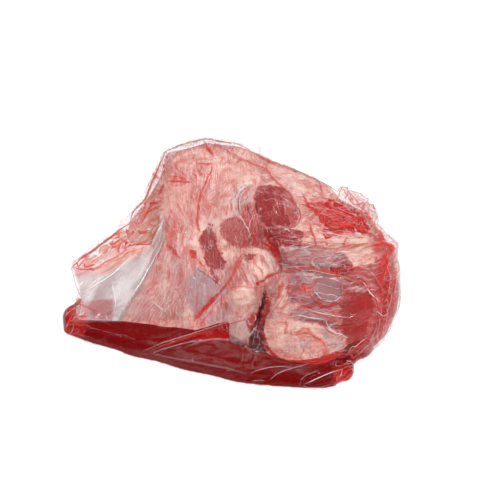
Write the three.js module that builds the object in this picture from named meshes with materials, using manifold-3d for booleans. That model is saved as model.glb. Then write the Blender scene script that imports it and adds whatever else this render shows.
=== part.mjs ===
// A whole corned beef brisket, folded once on itself and lying in a clear sealed bag with its curing juice.
// The film clings to the meat, stands off it as a slack tent on the left and holds the juice at the front,
// so the bag is one closed solid: everything inside the film, out to the film's own creased form.
//
// Millimetres, +Z up. +X runs from the bag's gathered end to the round of the folded meat, +Y from the front
// of the bag, where the juice has pooled, to the back. The bag rests on its flat underside at z = 0.
import * as THREE from "three";
import { ConvexHull } from "three/addons/math/ConvexHull.js";
import { mergeVertices } from "three/addons/utils/BufferGeometryUtils.js";
import Module from "manifold-3d";

// Driving dimensions: the bag's length and depth on the table, the top of the meat and the level of the juice.
const LENGTH = 373;
const DEPTH = 301;
const HEIGHT = 114;
const JUICE_LEVEL = 24;

// How softly the film bridges the valley between two lumps of meat, and between the meat and slack film.
const BRIDGE = 18;
const TIGHT_BRIDGE = 8;

// How much is rounded off the edges of slack film, where it lies on juice or meat and where it stands alone.
const SOFT_EDGE = 10;
const SHARP_EDGE = 4;

// How much a fold's distances count along the bag, across it and in height, and how many of its widths it takes
// to fade away.
const FOLD_REACH = new THREE.Vector3(1, 1, 0.3);
const FADED = 2.5;

// The mesh: how finely its sphere is divided, how far out the search for the film starts, the share of the
// distance and the least length it steps by, and the accuracy it stops at.
const SPHERE_DETAIL = 32;
const SEARCH_RADIUS = 420;
const SEARCH_SHARE = 0.5;
const SEARCH_STEP = 0.5;
const SEARCH_ACCURACY = 0.01;
const MERGE_DISTANCE = 1e-5;

// A place in the bag, or the half sizes of a form, as shares of its length (from the middle), its depth (from
// the front) and its height.
const at = (along, back, up) => new THREE.Vector3(along * LENGTH, back * DEPTH, up * HEIGHT);
const LEVEL = JUICE_LEVEL / HEIGHT;
const degrees = THREE.MathUtils.degToRad;

// The heart of the bag, under the cleft, from which every part of the film can be seen.
const HEART = at(0.078, 0.41, -0.526);

// Distance fields. Each takes a point and gives its distance outside the form, negative inside.

/** An egg-shaped lump of meat: half sizes along its own axes, squareness 2 for an ellipsoid and more for a slab. */
function lump({ centre, size, turn = [0, 0, 0], squareness = 2, taper = 0 }) {
  const inverse = new THREE.Quaternion().setFromEuler(new THREE.Euler(...turn.map(degrees))).invert();
  const local = new THREE.Vector3();
  return (point) => {
    local.subVectors(point, centre).applyQuaternion(inverse);
    const distance = local.length();
    const width = size.x * (1 - (taper * local.y) / size.y);
    const level =
      (Math.abs(local.x / width) ** squareness +
        Math.abs(local.y / size.y) ** squareness +
        Math.abs(local.z / size.z) ** squareness) **
      (1 / squareness);
    return distance - distance / Math.max(level, MERGE_DISTANCE);
  };
}

/** Slack film stretched over a few points: their convex hull, with its edges softened. */
function stretched(points, softness) {
  const planes = new ConvexHull().setFromPoints(points).faces.map((face) => [face.normal.clone(), face.constant]);
  return (point) =>
    planes.reduce((outside, [normal, constant]) => {
      const beyond = normal.dot(point) - constant;
      const mix = Math.max(softness - Math.abs(outside - beyond), 0) / softness;
      return Math.max(outside, beyond) + (mix * mix * softness) / 4;
    }, -Infinity);
}

/** Places with their feet, straight below them under the table. */
function standing(...places) {
  return [...places, ...places.map((place) => place.clone().setZ(-HEIGHT / 10))];
}

/** The lesser of two distances, with the corner between them bridged over the given width. */
function bridged(a, b, width) {
  const mix = Math.max(width - Math.abs(a - b), 0) / width;
  return Math.min(a, b) - (mix * mix * width) / 4;
}

/** How far a point lies from a line of places, and how far along it from 0 to 1. Height counts for less. */
function alongLine(points) {
  const flatten = (place) => place.clone().multiply(FOLD_REACH);
  const pieces = points.slice(1).map((end, i) => new THREE.Line3(flatten(points[i]), flatten(end)));
  const whole = pieces.reduce((sum, piece) => sum + piece.distance(), 0);
  const nearest = new THREE.Vector3();
  return (point) => {
    const flat = flatten(point);
    let [least, share, walked] = [Infinity, 0, 0];
    for (const piece of pieces) {
      const run = piece.closestPointToPointParameter(flat, true);
      const away = piece.at(run, nearest).distanceTo(flat);
      if (away < least) [least, share] = [away, (walked + run * piece.distance()) / whole];
      walked += piece.distance();
    }
    return [least, share];
  };
}

/** A fold in the film, a ridge where height is positive and a valley where it is negative, fading at its ends. */
function fold({ line, height, width }) {
  const measure = alongLine(line);
  const box = new THREE.Box3().setFromPoints(line).expandByScalar(FADED * width);
  box.min.z = -Infinity;
  box.max.z = Infinity;
  return (point) => {
    if (!box.containsPoint(point)) return 0;
    const [away, share] = measure(point);
    return height * Math.exp(-((away / width) ** 2)) * Math.sqrt(Math.abs(Math.sin(Math.PI * share)));
  };
}

// The folded meat: the slab is the near half of the brisket, sloping up to the back; the roll is the other half,
// turned over on itself at the right, with its fat end at the front; and the bend joins them under the cleft.
const SLAB = lump({ centre: at(-0.053, 0.606, 0.29), size: at(0.195, 0.419, 0.39), turn: [28, 0, 3], squareness: 3.4, taper: 0.17 });
const ROLL_BACK = lump({ centre: at(0.157, 0.668, 0.347), size: at(0.242, 0.213, 0.474), turn: [0, 14, -13], squareness: 2.8 });
const ROLL = lump({ centre: at(0.278, 0.454, 0.284), size: at(0.217, 0.345, 0.474), turn: [0, 8, 0], squareness: 2.4 });
const FAT_END = lump({ centre: at(0.206, 0.212, 0.126), size: at(0.123, 0.126, 0.3), turn: [12, 0, -8], squareness: 2.5 });
const BEND = lump({ centre: at(0.068, 0.4, 0.147), size: at(0.139, 0.226, 0.263) });
const MEAT = [SLAB, ROLL_BACK, ROLL, FAT_END, BEND];

// The muscle and the lobe of fat that stand out of the meat on either side of the cleft.
const MUSCLE = lump({ centre: at(0.128, 0.588, 0.695), size: at(0.081, 0.113, 0.211), turn: [18, 0, 10] });
const FAT_LOBE = lump({ centre: at(0.054, 0.378, 0.33), size: at(0.085, 0.126, 0.27), turn: [28, 0, 0], squareness: 2.3 });

// The pillow of juice along the front: the bulge of its edge, then its shoulder, then where it runs in under
// the meat. The gathered corner at its left end and the tuck at its right end are full of juice too.
const POOL = stretched(
  [
    ...standing(
      at(-0.489, 0.279, 0.042), at(-0.439, 0.217, 0.042), at(-0.384, 0.189, 0.042), at(-0.237, 0.12, 0.042),
      at(-0.092, 0.06, 0.042), at(0.05, 0.008, 0.042), at(0.163, -0.015, 0.042), at(0.29, -0.015, 0.042),
      at(0.335, 0.012, 0.042), at(0.353, 0.07, 0.063), at(0.324, 0.279, 0.042), at(-0.484, 0.359, 0.053),
    ),
    at(-0.474, 0.279, 0.18), at(-0.386, 0.225, LEVEL), at(-0.236, 0.16, LEVEL), at(-0.092, 0.101, LEVEL),
    at(0.05, 0.05, LEVEL), at(0.167, 0.031, LEVEL), at(0.276, 0.036, 0.2), at(0.325, 0.075, 0.19),
    at(0.296, 0.279, LEVEL), at(-0.444, 0.379, LEVEL),
  ],
  SOFT_EDGE,
);
const GATHER = lump({ centre: at(-0.462, 0.325, 0.063), size: at(0.036, 0.063, 0.114), turn: [0, 0, 12], squareness: 2.4 });
const TUCK = lump({ centre: at(0.352, 0.16, 0.063), size: at(0.04, 0.048, 0.088) });

// Slack film over air: the tent from its corner on the left up to the slab, the film over the slab's top, the
// film behind the roll and the knot of film on the roll's right side.
const TENT = stretched(
  [
    ...standing(
      at(-0.483, 0.492, 0.379), at(-0.465, 0.438, 0.316), at(-0.444, 0.375, 0.253), at(-0.44, 0.31, 0.195),
      at(-0.419, 0.577, 0.455), at(-0.326, 0.65, 0.54), at(-0.099, 0.629, 0.526),
    ),
    at(-0.198, 0.279, 0.211), at(-0.089, 0.429, 0.474),
  ],
  SHARP_EDGE,
);
const SLAB_SIDE = stretched(
  [
    ...standing(
      at(-0.332, 0.65, 0.54), at(-0.273, 0.738, 0.684), at(-0.254, 0.794, 0.758), at(-0.241, 0.848, 0.811),
      at(-0.198, 0.877, 0.821), at(-0.089, 0.479, 0.526),
    ),
    at(-0.198, 0.379, 0.316),
  ],
  SHARP_EDGE,
);
const SLAB_TOP = stretched(
  [
    ...standing(
      at(-0.246, 0.86, 0.85), at(-0.218, 0.969, 0.885), at(-0.135, 0.991, 0.935), at(-0.09, 1.005, 0.955),
      at(0.023, 0.974, 0.935), at(0.109, 0.909, 0.835), at(0.205, 0.883, 0.76), at(0.147, 0.479, 0.4),
    ),
    at(-0.198, 0.678, 0.632), at(0.147, 0.678, 0.737), at(-0.051, 0.778, 0.895),
  ],
  SOFT_EDGE,
);
const ROLL_TOP = stretched(
  standing(
    at(0.196, 0.899, 0.76), at(0.337, 0.863, 0.66), at(0.417, 0.828, 0.55), at(0.453, 0.792, 0.46),
    at(0.296, 0.678, 0.653), at(0.147, 0.578, 0.632), at(0.394, 0.578, 0.4),
  ),
  SOFT_EDGE,
);
const KNOT = stretched(
  [
    at(0.454, 0.619, 0.316), at(0.46, 0.639, 0.4), at(0.484, 0.599, 0.368), at(0.498, 0.479, 0.232),
    at(0.394, 0.479, 0.421), at(0.394, 0.578, 0),
  ],
  SHARP_EDGE,
);
const CLINGING = [MUSCLE, FAT_LOBE, POOL, GATHER, TUCK, TENT, SLAB_SIDE, SLAB_TOP, ROLL_TOP, KNOT];

// The cleft where the slab and the roll meet, running down into the juice.
const CLEFT = fold({
  line: [
    at(0.086, 0.525, 0.8), at(0.109, 0.451, 0.67), at(0.128, 0.363, 0.65), at(0.093, 0.292, 0.55), at(0.085, 0.251, 0.42),
    at(0.073, 0.216, 0.33), at(0.064, 0.161, 0.2),
  ],
  height: -17,
  width: 9,
});

// The line where the film leaves the slab's top for the back of the roll and passes round the muscle.
const BACK_LINE = fold({
  line: [
    at(-0.055, 0.909, 0.99), at(0.021, 0.855, 0.98), at(0.088, 0.808, 0.87), at(0.14, 0.739, 0.84), at(0.193, 0.636, 0.84),
    at(0.18, 0.525, 0.81),
  ],
  height: -5,
  width: 8,
});

// The sheet of film pulled across the juice to the cleft, and the tuck that runs up the slab from it.
const SHEET = fold({
  line: [at(-0.329, 0.161, 0.04), at(-0.194, 0.178, 0.16), at(-0.094, 0.246, 0.17), at(0.021, 0.235, 0.3), at(0.085, 0.229, 0.37)],
  height: 5,
  width: 8,
});
const SLAB_TUCK = fold({ line: [at(-0.1, 0.253, 0.18), at(-0.014, 0.331, 0.49), at(0.05, 0.4, 0.64)], height: -4, width: 8 });

// The slack loop of the tent, from its corner along under its upper edge.
const TENT_LOOP = fold({
  line: [at(-0.468, 0.481, 0.36), at(-0.397, 0.481, 0.39), at(-0.333, 0.527, 0.45), at(-0.25, 0.549, 0.51), at(-0.205, 0.636, 0.68)],
  height: -5,
  width: 9,
});

// Tucks drawn across the roll from the cleft to its right side, and round its fat end.
const ROLL_TUCKS = [
  [at(0.115, 0.475, 0.72), at(0.186, 0.452, 0.76), at(0.244, 0.428, 0.77), at(0.367, 0.469, 0.71), at(0.427, 0.464, 0.63)],
  [at(0.135, 0.342, 0.7), at(0.221, 0.316, 0.75), at(0.275, 0.319, 0.74), at(0.343, 0.292, 0.69), at(0.397, 0.242, 0.58)],
  [at(0.099, 0.202, 0.4), at(0.185, 0.166, 0.56), at(0.247, 0.163, 0.59), at(0.304, 0.179, 0.6), at(0.367, 0.232, 0.62)],
].map((line) => fold({ line, height: -4, width: 8 }));

// Ruffles of loose film at the back of the roll.
const RUFFLES = [
  [at(0.26, 0.626, 0.77), at(0.303, 0.731, 0.69), at(0.322, 0.838, 0.6)],
  [at(0.322, 0.616, 0.72), at(0.358, 0.736, 0.6), at(0.397, 0.828, 0.52)],
  [at(0.372, 0.585, 0.67), at(0.421, 0.746, 0.45), at(0.447, 0.787, 0.4)],
].map((line) => fold({ line, height: 6, width: 7 }));

const FOLDS = [CLEFT, BACK_LINE, SHEET, SLAB_TUCK, TENT_LOOP, ...ROLL_TUCKS, ...RUFFLES];

/** Distance outside the film. Below the table the form runs straight down to a floor, to be trimmed off. */
function filmDistance(point) {
  const foot = point.clone().setZ(Math.max(point.z, 0));
  let distance = MEAT.map((form) => form(foot)).reduce((a, b) => bridged(a, b, BRIDGE));
  for (const form of CLINGING) distance = bridged(distance, form(foot), TIGHT_BRIDGE);
  for (const crease of FOLDS) distance -= crease(foot);
  return Math.max(distance, HEART.z - HEIGHT / 4 - point.z);
}

/** How far the film lies from the heart along one direction, found from outside inwards. */
function filmRadius(direction) {
  const point = new THREE.Vector3();
  const distanceAt = (radius) => filmDistance(point.copy(direction).multiplyScalar(radius).add(HEART));
  let outer = SEARCH_RADIUS;
  let inner = outer;
  let distance = distanceAt(outer);
  while (distance > 0) {
    inner = outer;
    outer -= Math.max(SEARCH_STEP, SEARCH_SHARE * distance);
    distance = distanceAt(outer);
  }
  while (inner - outer > SEARCH_ACCURACY) {
    const middle = (inner + outer) / 2;
    if (distanceAt(middle) > 0) inner = middle;
    else outer = middle;
  }
  return outer;
}

/** The film's closed form: a sphere pressed to the bag's rough form, each vertex then moved out to the film. */
function filmGeometry() {
  const geometry = new THREE.IcosahedronGeometry(1, SPHERE_DETAIL);
  geometry.deleteAttribute("normal");
  geometry.deleteAttribute("uv");
  const merged = mergeVertices(geometry.scale(LENGTH / 2, DEPTH / 2, HEIGHT), SEARCH_ACCURACY).translate(0, DEPTH / 2, 0);
  const places = merged.getAttribute("position");
  const direction = new THREE.Vector3();
  for (let i = 0; i < places.count; i++) {
    direction.fromBufferAttribute(places, i).sub(HEART).normalize();
    direction.multiplyScalar(filmRadius(direction)).add(HEART);
    places.setXYZ(i, direction.x, direction.y, direction.z);
  }
  return merged;
}

const wasm = await Module();
wasm.setup();

/** A closed geometry as a solid that can be cut. */
function solidOf(geometry) {
  geometry.deleteAttribute("normal");
  geometry.deleteAttribute("uv");
  const merged = mergeVertices(geometry, MERGE_DISTANCE);
  return new wasm.Manifold(
    new wasm.Mesh({
      numProp: 3,
      vertProperties: new Float32Array(merged.getAttribute("position").array),
      triVerts: new Uint32Array(merged.index.array),
    }),
  );
}

/** A cut solid as a geometry again. */
function geometryOf(solid) {
  const mesh = solid.getMesh();
  return new THREE.BufferGeometry()
    .setAttribute("position", new THREE.BufferAttribute(mesh.vertProperties, 3))
    .setIndex(new THREE.BufferAttribute(mesh.triVerts, 1));
}

/** The bag resting on the table: its form trimmed flat at z = 0, with the middle of its box at x = y = 0. */
function restingBag() {
  const under = new THREE.BoxGeometry(3 * LENGTH, 3 * DEPTH, 2 * HEIGHT).translate(0, 0, -HEIGHT);
  const geometry = geometryOf(solidOf(filmGeometry()).subtract(solidOf(under)));
  geometry.computeBoundingBox();
  const middle = geometry.boundingBox.getCenter(new THREE.Vector3());
  return geometry.translate(-middle.x, -middle.y, -geometry.boundingBox.min.z);
}

const bag = new THREE.Mesh(
  restingBag(),
  new THREE.MeshStandardMaterial({ color: 0xc47c78, roughness: 0.25, metalness: 0 }),
);
bag.name = "bag";

const group = new THREE.Group();
group.add(bag);
export default group;
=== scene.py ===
"""A whole corned beef brisket, folded in a loose clear bag with its curing juice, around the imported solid.

The CAD solid gives the form of the bag. The clear film stands for it, with the folded brisket that lies
against the film from inside, and the juice that has pooled along the front and run up into the creases.
"""

import logging
import math
from dataclasses import dataclass, field
from enum import Enum

import bmesh
import bpy
import numpy as np
from mathutils import Matrix, Vector, noise
from mathutils.bvhtree import BVHTree

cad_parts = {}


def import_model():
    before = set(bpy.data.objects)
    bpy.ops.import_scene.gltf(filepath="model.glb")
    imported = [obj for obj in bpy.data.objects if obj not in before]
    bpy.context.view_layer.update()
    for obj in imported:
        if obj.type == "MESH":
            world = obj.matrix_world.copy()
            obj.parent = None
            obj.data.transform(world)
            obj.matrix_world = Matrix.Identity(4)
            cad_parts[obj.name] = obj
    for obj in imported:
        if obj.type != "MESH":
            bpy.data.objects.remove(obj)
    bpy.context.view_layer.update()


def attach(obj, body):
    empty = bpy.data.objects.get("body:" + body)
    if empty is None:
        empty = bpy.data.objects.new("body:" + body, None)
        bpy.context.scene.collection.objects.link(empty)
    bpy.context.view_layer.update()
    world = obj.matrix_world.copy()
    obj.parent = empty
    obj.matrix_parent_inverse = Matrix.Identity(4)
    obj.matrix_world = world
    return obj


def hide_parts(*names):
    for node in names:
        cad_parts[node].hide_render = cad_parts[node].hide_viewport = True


log = logging.getLogger("brisket")
MM = 0.001
VIEW_PIXEL = 1.1 * MM
REACH = 14.0
FINE_LINE = 2.2
Path = str
Array = np.ndarray
Form = bmesh.types.BMesh
Socket = bpy.types.NodeSocket
Colour = tuple[float, float, float, float]


def linear(red: int, green: int, blue: int) -> Colour:
    """Turn a screen colour into the linear colour that a shader takes."""
    parts = [c / 255 for c in (red, green, blue)]
    return tuple(c / 12.92 if c <= 0.04045 else ((c + 0.055) / 1.055) ** 2.4 for c in parts) + (1.0,)


def ease(low: float, high: float, value: Array) -> Array:
    """Rise smoothly from 0 at low to 1 at high."""
    t = np.clip((value - low) / (high - low), 0, 1)
    return t * t * (3 - 2 * t)


def noise_at(places: Array, seed: float = 0.0) -> Array:
    """Smooth noise at each place, with lumps about 1 across."""
    padded = np.pad(places, ((0, 0), (0, 3 - places.shape[1]))) + seed
    return np.array([noise.noise(p) for p in padded])


def spots(path: Path) -> Array:
    """Read the points of a path, each written as its pixel column and row with a comma between."""
    return np.array([point.split(",") for point in path.split()], float)


def rounded(path: Path, pieces: int = 6) -> Array:
    """Draw a smooth curve through the points of a path.

    Args:
        path: The points.
        pieces: Pieces of the curve between two points.

    Returns:
        The points of the curve, one a row.
    """
    points = spots(path)
    if len(points) < 3:
        return points
    ends = np.vstack([2 * points[0] - points[1], points, 2 * points[-1] - points[-2]])
    t = np.linspace(0, 1, pieces, endpoint=False)[:, None]
    parts = []
    for a, b, c, d in zip(ends, ends[1:], ends[2:], ends[3:]):
        parts.append(0.5 * (2 * b + (c - a) * t + (2 * a - 5 * b + 4 * c - d) * t**2
                            + (3 * b - a - 3 * c + d) * t**3))
    return np.vstack(parts + [points[-1:]])


def along(points: Array, path: Array) -> tuple[Array, Array, Array]:
    """Measure points against a path.

    Args:
        points: One point a row.
        path: The path's points, one a row.

    Returns:
        The offset of each point from the path, its distance, and how far along the path it lies, 0 to 1.
    """
    near = ((points > path.min(axis=0) - REACH) & (points < path.max(axis=0) + REACH)).all(axis=1)
    close = points[near]
    found = np.full((len(close), 4), 1e3)
    steps = np.linalg.norm(np.diff(path, axis=0), axis=1)
    run = 0.0
    for start, end, step in zip(path, path[1:], steps):
        t = np.clip((close - start) @ (end - start) / step**2, 0, 1)
        offset = close - start - t[:, None] * (end - start)
        here = np.column_stack([offset, np.hypot(*offset.T), (run + t * step) / steps.sum()])
        nearer = here[:, 2] < found[:, 2]
        found[nearer] = here[nearer]
        run += step
    result = np.full((len(points), 4), (1e3, 1e3, 1e3, 0.0))
    result[near] = found
    return result[:, :2], result[:, 2], result[:, 3]


def within(points: Array, outline: Array) -> Array:
    """Measure how deep points lie inside an outline.

    Args:
        points: One point a row.
        outline: The outline's corners, one a row.

    Returns:
        The distance of each point from the outline, negative outside it.
    """
    _, gaps, _ = along(points, np.vstack([outline, outline[:1]]))
    inside = np.zeros(len(points), bool)
    for (ax, ay), (bx, by) in zip(outline, np.roll(outline, -1, axis=0)):
        if ay != by:
            crosses = (ay > points[:, 1]) != (by > points[:, 1])
            inside ^= crosses & (points[:, 0] < ax + (bx - ax) * (points[:, 1] - ay) / (by - ay))
    return np.where(inside, gaps, -gaps)


@dataclass(frozen=True)
class PhotoView:
    """The camera of the photograph: where it looks, how steeply, from how far, and how much it takes in."""

    aim: Vector = field(default_factory=lambda: Vector((0.0081, 0.0155, 0.0643)))
    elevation: float = math.radians(42)
    distance: float = 2.0
    pixel: float = VIEW_PIXEL
    image: int = 480

    @property
    def forward(self) -> Vector:
        """Direction in which the camera looks."""
        return Vector((0, math.cos(self.elevation), -math.sin(self.elevation)))

    @property
    def upward(self) -> Vector:
        """Direction that is up in the image."""
        return Vector((0, math.sin(self.elevation), math.cos(self.elevation)))

    @property
    def eye(self) -> Vector:
        """Where the camera stands."""
        return self.aim - self.forward * self.distance

    def pixels(self, places: Array) -> Array:
        """Find the pixels at which places appear.

        Args:
            places: One place a row, in metres.

        Returns:
            One pixel column and row for each place.
        """
        away = places - np.array(self.eye)
        scale = self.distance / (away @ np.array(self.forward)) / self.pixel
        half = self.image / 2
        return np.stack([half + away[:, 0] * scale, half - away @ np.array(self.upward) * scale], 1)

    def column(self, outline: Path) -> Form:
        """Make the column of space that an outline in the image takes in.

        Args:
            outline: The outline, in pixels.

        Returns:
            The column, as a form.
        """
        half = self.image / 2
        flat = bmesh.new()
        for x, y in spots(outline):
            aside = Vector((1, 0, 0)) * (x - half) + self.upward * (half - y)
            flat.verts.new(self.eye + (self.forward * self.distance + aside * self.pixel) * 0.8)
        far = bmesh.ops.extrude_face_region(flat, geom=[flat.faces.new(flat.verts[:])])["geom"]
        moved = [piece for piece in far if isinstance(piece, bmesh.types.BMVert)]
        bmesh.ops.scale(flat, vec=(1.5, 1.5, 1.5), space=Matrix.Translation(-self.eye), verts=moved)
        bmesh.ops.recalc_face_normals(flat, faces=flat.faces[:])
        return flat

    def camera(self) -> None:
        """Make the camera and set it as the scene's."""
        data = bpy.data.cameras.new("camera")
        data.sensor_width = 36
        data.lens = 36 * self.distance / (self.image * self.pixel)
        data.clip_end = 20
        obj = bpy.data.objects.new("camera", data)
        obj.location = self.eye
        obj.rotation_euler = (math.pi / 2 - self.elevation, 0, 0)
        bpy.context.scene.collection.objects.link(obj)
        bpy.context.scene.camera = obj


class Sculpt:
    """A mesh object whose points are moved and painted as arrays."""

    def __init__(self, name: str, form: Form) -> None:
        """Put a form in the scene as an object.

        Args:
            name: The object's name.
            form: The form, which is freed.
        """
        data = bpy.data.meshes.new(name)
        form.to_mesh(data)
        form.free()
        self.obj = bpy.data.objects.new(name, data)
        bpy.context.scene.collection.objects.link(self.obj)

    @property
    def mesh(self) -> bpy.types.Mesh:
        """The object's mesh."""
        return self.obj.data

    @property
    def points(self) -> Array:
        """Vertex places, one a row."""
        flat = np.zeros(len(self.mesh.vertices) * 3)
        self.mesh.vertices.foreach_get("co", flat)
        return flat.reshape(-1, 3)

    @points.setter
    def points(self, places: Array) -> None:
        """Move the vertices."""
        self.mesh.vertices.foreach_set("co", places.ravel())
        self.mesh.update()

    @property
    def normals(self) -> Array:
        """Vertex normals, one a row."""
        flat = np.zeros(len(self.mesh.vertices) * 3)
        self.mesh.vertex_normals.foreach_get("vector", flat)
        return flat.reshape(-1, 3)

    def push(self, heights: Array | float) -> None:
        """Move the vertices along their normals."""
        self.points = self.points + self.normals * np.reshape(heights, (-1, 1))

    def paint(self, name: str, values: Array) -> None:
        """Store a value or a vector on each vertex.

        Args:
            name: The attribute's name.
            values: One value or one row for each vertex.
        """
        kind, key = ("FLOAT", "value") if values.ndim == 1 else ("FLOAT_VECTOR", "vector")
        attribute = self.mesh.attributes.new(name, kind, "POINT")
        attribute.data.foreach_set(key, values.astype(np.float32).ravel())

    def modify(self, kind: str, **settings: object) -> None:
        """Put the mesh through a modifier.

        Args:
            kind: The modifier's type.
            settings: The modifier's settings.
        """
        modifier = self.obj.modifiers.new(kind, kind)
        for key, value in settings.items():
            setattr(modifier, key, value)
        graph = bpy.context.evaluated_depsgraph_get()
        result = bpy.data.meshes.new_from_object(self.obj.evaluated_get(graph))
        self.obj.modifiers.clear()
        old, self.obj.data = self.obj.data, result
        bpy.data.meshes.remove(old)

    def remesh(self, edge: float) -> None:
        """Cover the form with an even mesh."""
        self.modify("REMESH", mode="VOXEL", voxel_size=edge)

    def smooth(self, rounds: int) -> None:
        """Relax the surface."""
        self.modify("SMOOTH", iterations=rounds, factor=0.5)

    def keep_common(self, other: "Sculpt") -> None:
        """Keep only what also lies inside another form, which is then removed."""
        self.modify("BOOLEAN", operation="INTERSECT", solver="EXACT", object=other.obj)
        bpy.data.objects.remove(other.obj)

    def hand_in(self, material: bpy.types.Material) -> None:
        """Dress the piece and let it stand for the bag of the CAD model.

        Args:
            material: The piece's material.
        """
        self.mesh.materials.clear()
        self.mesh.materials.append(material)
        self.mesh.shade_smooth()
        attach(self.obj, "root")
        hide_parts("bag")
        log.info("%s: %d faces", self.obj.name, len(self.mesh.polygons))


@dataclass(frozen=True)
class Bulge:
    """A rise of the meat, or a dip where its height is negative: an oval in pixels, in millimetres."""

    name: str
    middle: tuple[float, float]
    radii: tuple[float, float]
    height: float
    turn: float = 0.0
    roundness: float = 0.6

    def relief(self, canvas: "Canvas") -> Array:
        """Raise the oval on a mesh.

        Args:
            canvas: The mesh as the camera sees it.

        Returns:
            The height at each point, in millimetres.
        """
        turn = math.radians(self.turn)
        away = canvas.ragged(1.5) - np.array(self.middle)
        side = away @ np.array([math.cos(turn), math.sin(turn)]) / self.radii[0]
        rise = away @ np.array([-math.sin(turn), math.cos(turn)]) / self.radii[1]
        reach = np.hypot(side, rise)
        return self.height * ease(1.25, 1.25 - self.roundness, reach) * canvas.seen


@dataclass(frozen=True)
class Pull:
    """A part of the outline that is drawn out, along the floor or upright, in pixels."""

    name: str
    middle: tuple[float, float]
    shift: tuple[float, float]
    reach: float
    on_floor: bool = False

    def move(self, sculpt: "Sculpt", view: PhotoView) -> None:
        """Draw the corner of a mesh out.

        Args:
            sculpt: The mesh.
            view: The camera of the photograph.
        """
        gaps = np.linalg.norm(view.pixels(sculpt.points) - np.array(self.middle), axis=1)
        down = Vector((0, 1 / view.upward.y, 0)) if self.on_floor else view.upward
        aside = Vector((self.shift[0] * view.pixel, 0, 0)) - down * self.shift[1] * view.pixel
        sculpt.points = sculpt.points + np.exp(-((gaps / self.reach) ** 2))[:, None] * np.array(aside)


BAG_CORNERS: tuple[Pull, ...] = (
    Pull("top corner", (224, 143), (1.5, -3.8), 16),
    Pull("crown", (196, 141), (-3, -2), 9),
    Pull("hump of the back", (256, 153), (4, -7), 11),
    Pull("slope of the tent", (124, 225), (-3, -5), 12),
    Pull("rim of the tent", (98, 246), (-4, -2), 14),
    Pull("side of the tent", (79, 284), (-5, 0), 8),
    Pull("peak", (202, 141), (0, -2.2), 8),
    Pull("left shoulder", (168, 151), (-1.5, -3), 8),
    Pull("back strip", (290, 169), (1, -3), 12),
    Pull("ruffle", (341, 188), (0, -1.5), 5),
    Pull("knot", (394, 244), (5, -2), 8),
    Pull("end of the tent", (75, 263), (-5.5, -4.5), 7),
    Pull("foot of the tent", (82, 296), (2.5, -2), 8),
    Pull("front corner", (364, 366), (-4, -3), 9),
    Pull("end of the gathers", (366, 354), (1.5, 0.5), 5),
    Pull("corner of the flap", (350, 372), (4, 0), 7, True),
    Pull("foot of the flap", (342, 387), (-1, -3), 6, True),
    Pull("middle of the lower rim", (185, 368), (0, 2.2), 24, True),
    Pull("right of the lower rim", (235, 382), (0, 2.4), 26, True),
    Pull("corner of the pool", (65, 331), (-1.5, 1), 4, True),
    Pull("right flank", (398, 330), (-1.5, -1), 14),
)


@dataclass(frozen=True)
class Groove:
    """A groove between two folds of the meat: path and width in pixels, depth in millimetres."""

    name: str
    path: Path
    depth: float
    width: float

    def relief(self, canvas: "Canvas") -> Array:
        """Sink the groove into a mesh.

        Args:
            canvas: The mesh as the camera sees it.

        Returns:
            The height at each point, in millimetres.
        """
        _, gaps, shares = along(canvas.ragged(1.2), rounded(self.path))
        fade = ease(0, 0.15, shares) * ease(0, 0.15, 1 - shares)
        return -self.depth * np.exp(-((gaps / self.width) ** 2)) * fade * canvas.seen


BRISKET_RELIEF: tuple[Bulge | Groove, ...] = (
    Bulge("eye of the muscle", (277, 207), (20, 19), 1.8, 0, 0.95),
    Bulge("lower lobe of the muscle", (286, 234), (17, 6), 1.2, 5),
    Bulge("muscle beside the fold", (250, 222), (9, 22), 2.4, -15),
    Bulge("fat lobe", (262, 266), (13, 19), 3, -15, 0.5),
    Bulge("fat end", (303, 341), (40, 22), 3, 8, 0.35),
    Bulge("left swell of the fat end", (286, 336), (10, 12), 1),
    Bulge("right swell of the fat end", (318, 343), (12, 10), 1),
    Bulge("round patch", (327, 288), (13, 13), 1.8, 0, 0.4),
    Bulge("upper band of the roll", (318, 258), (40, 9), 2.2, 2),
    Bulge("cream band", (336, 238), (30, 8), 1.8, 6),
    Bulge("foot of the slab", (246, 330), (12, 10), 2.2, -25, 0.5),
    Bulge("middle of the slab", (240, 300), (16, 12), 1.4, -30),
    Groove("cleft", "262,230 268,238 272,248 276,262 280,275", 6, 2.6),
    Groove("lower cleft", "268,286 267,298 264,310 259,322 254,338 250,350", 6, 2.8),
    Groove("under the eye", "262,228 276,228 290,229 301,224", 1.6, 2.2),
    Groove("roll line", "280,271 300,270 318,269 333,272 350,278 362,285 374,296", 3, 2.4),
    Groove("second roll line", "277,240 292,243 318,248 341,247 364,244", 2.4, 2.2),
    Groove("third roll line", "300,308 320,308 342,305 356,300", 2.4, 2.2),
    Groove("edge of the cream band", "303,218 322,225 340,229 370,231", 1.3, 2.4),
    Groove("fold lip", "256,284 266,279 278,273", 1.6, 2),
    Groove("edge of the fat end", "272,318 300,317 322,322 338,332 349,342", 1.8, 2.6),
    Groove("tuck", "196,326 212,305 228,287 238,270 248,257", 1.2, 2.2),
)


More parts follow.
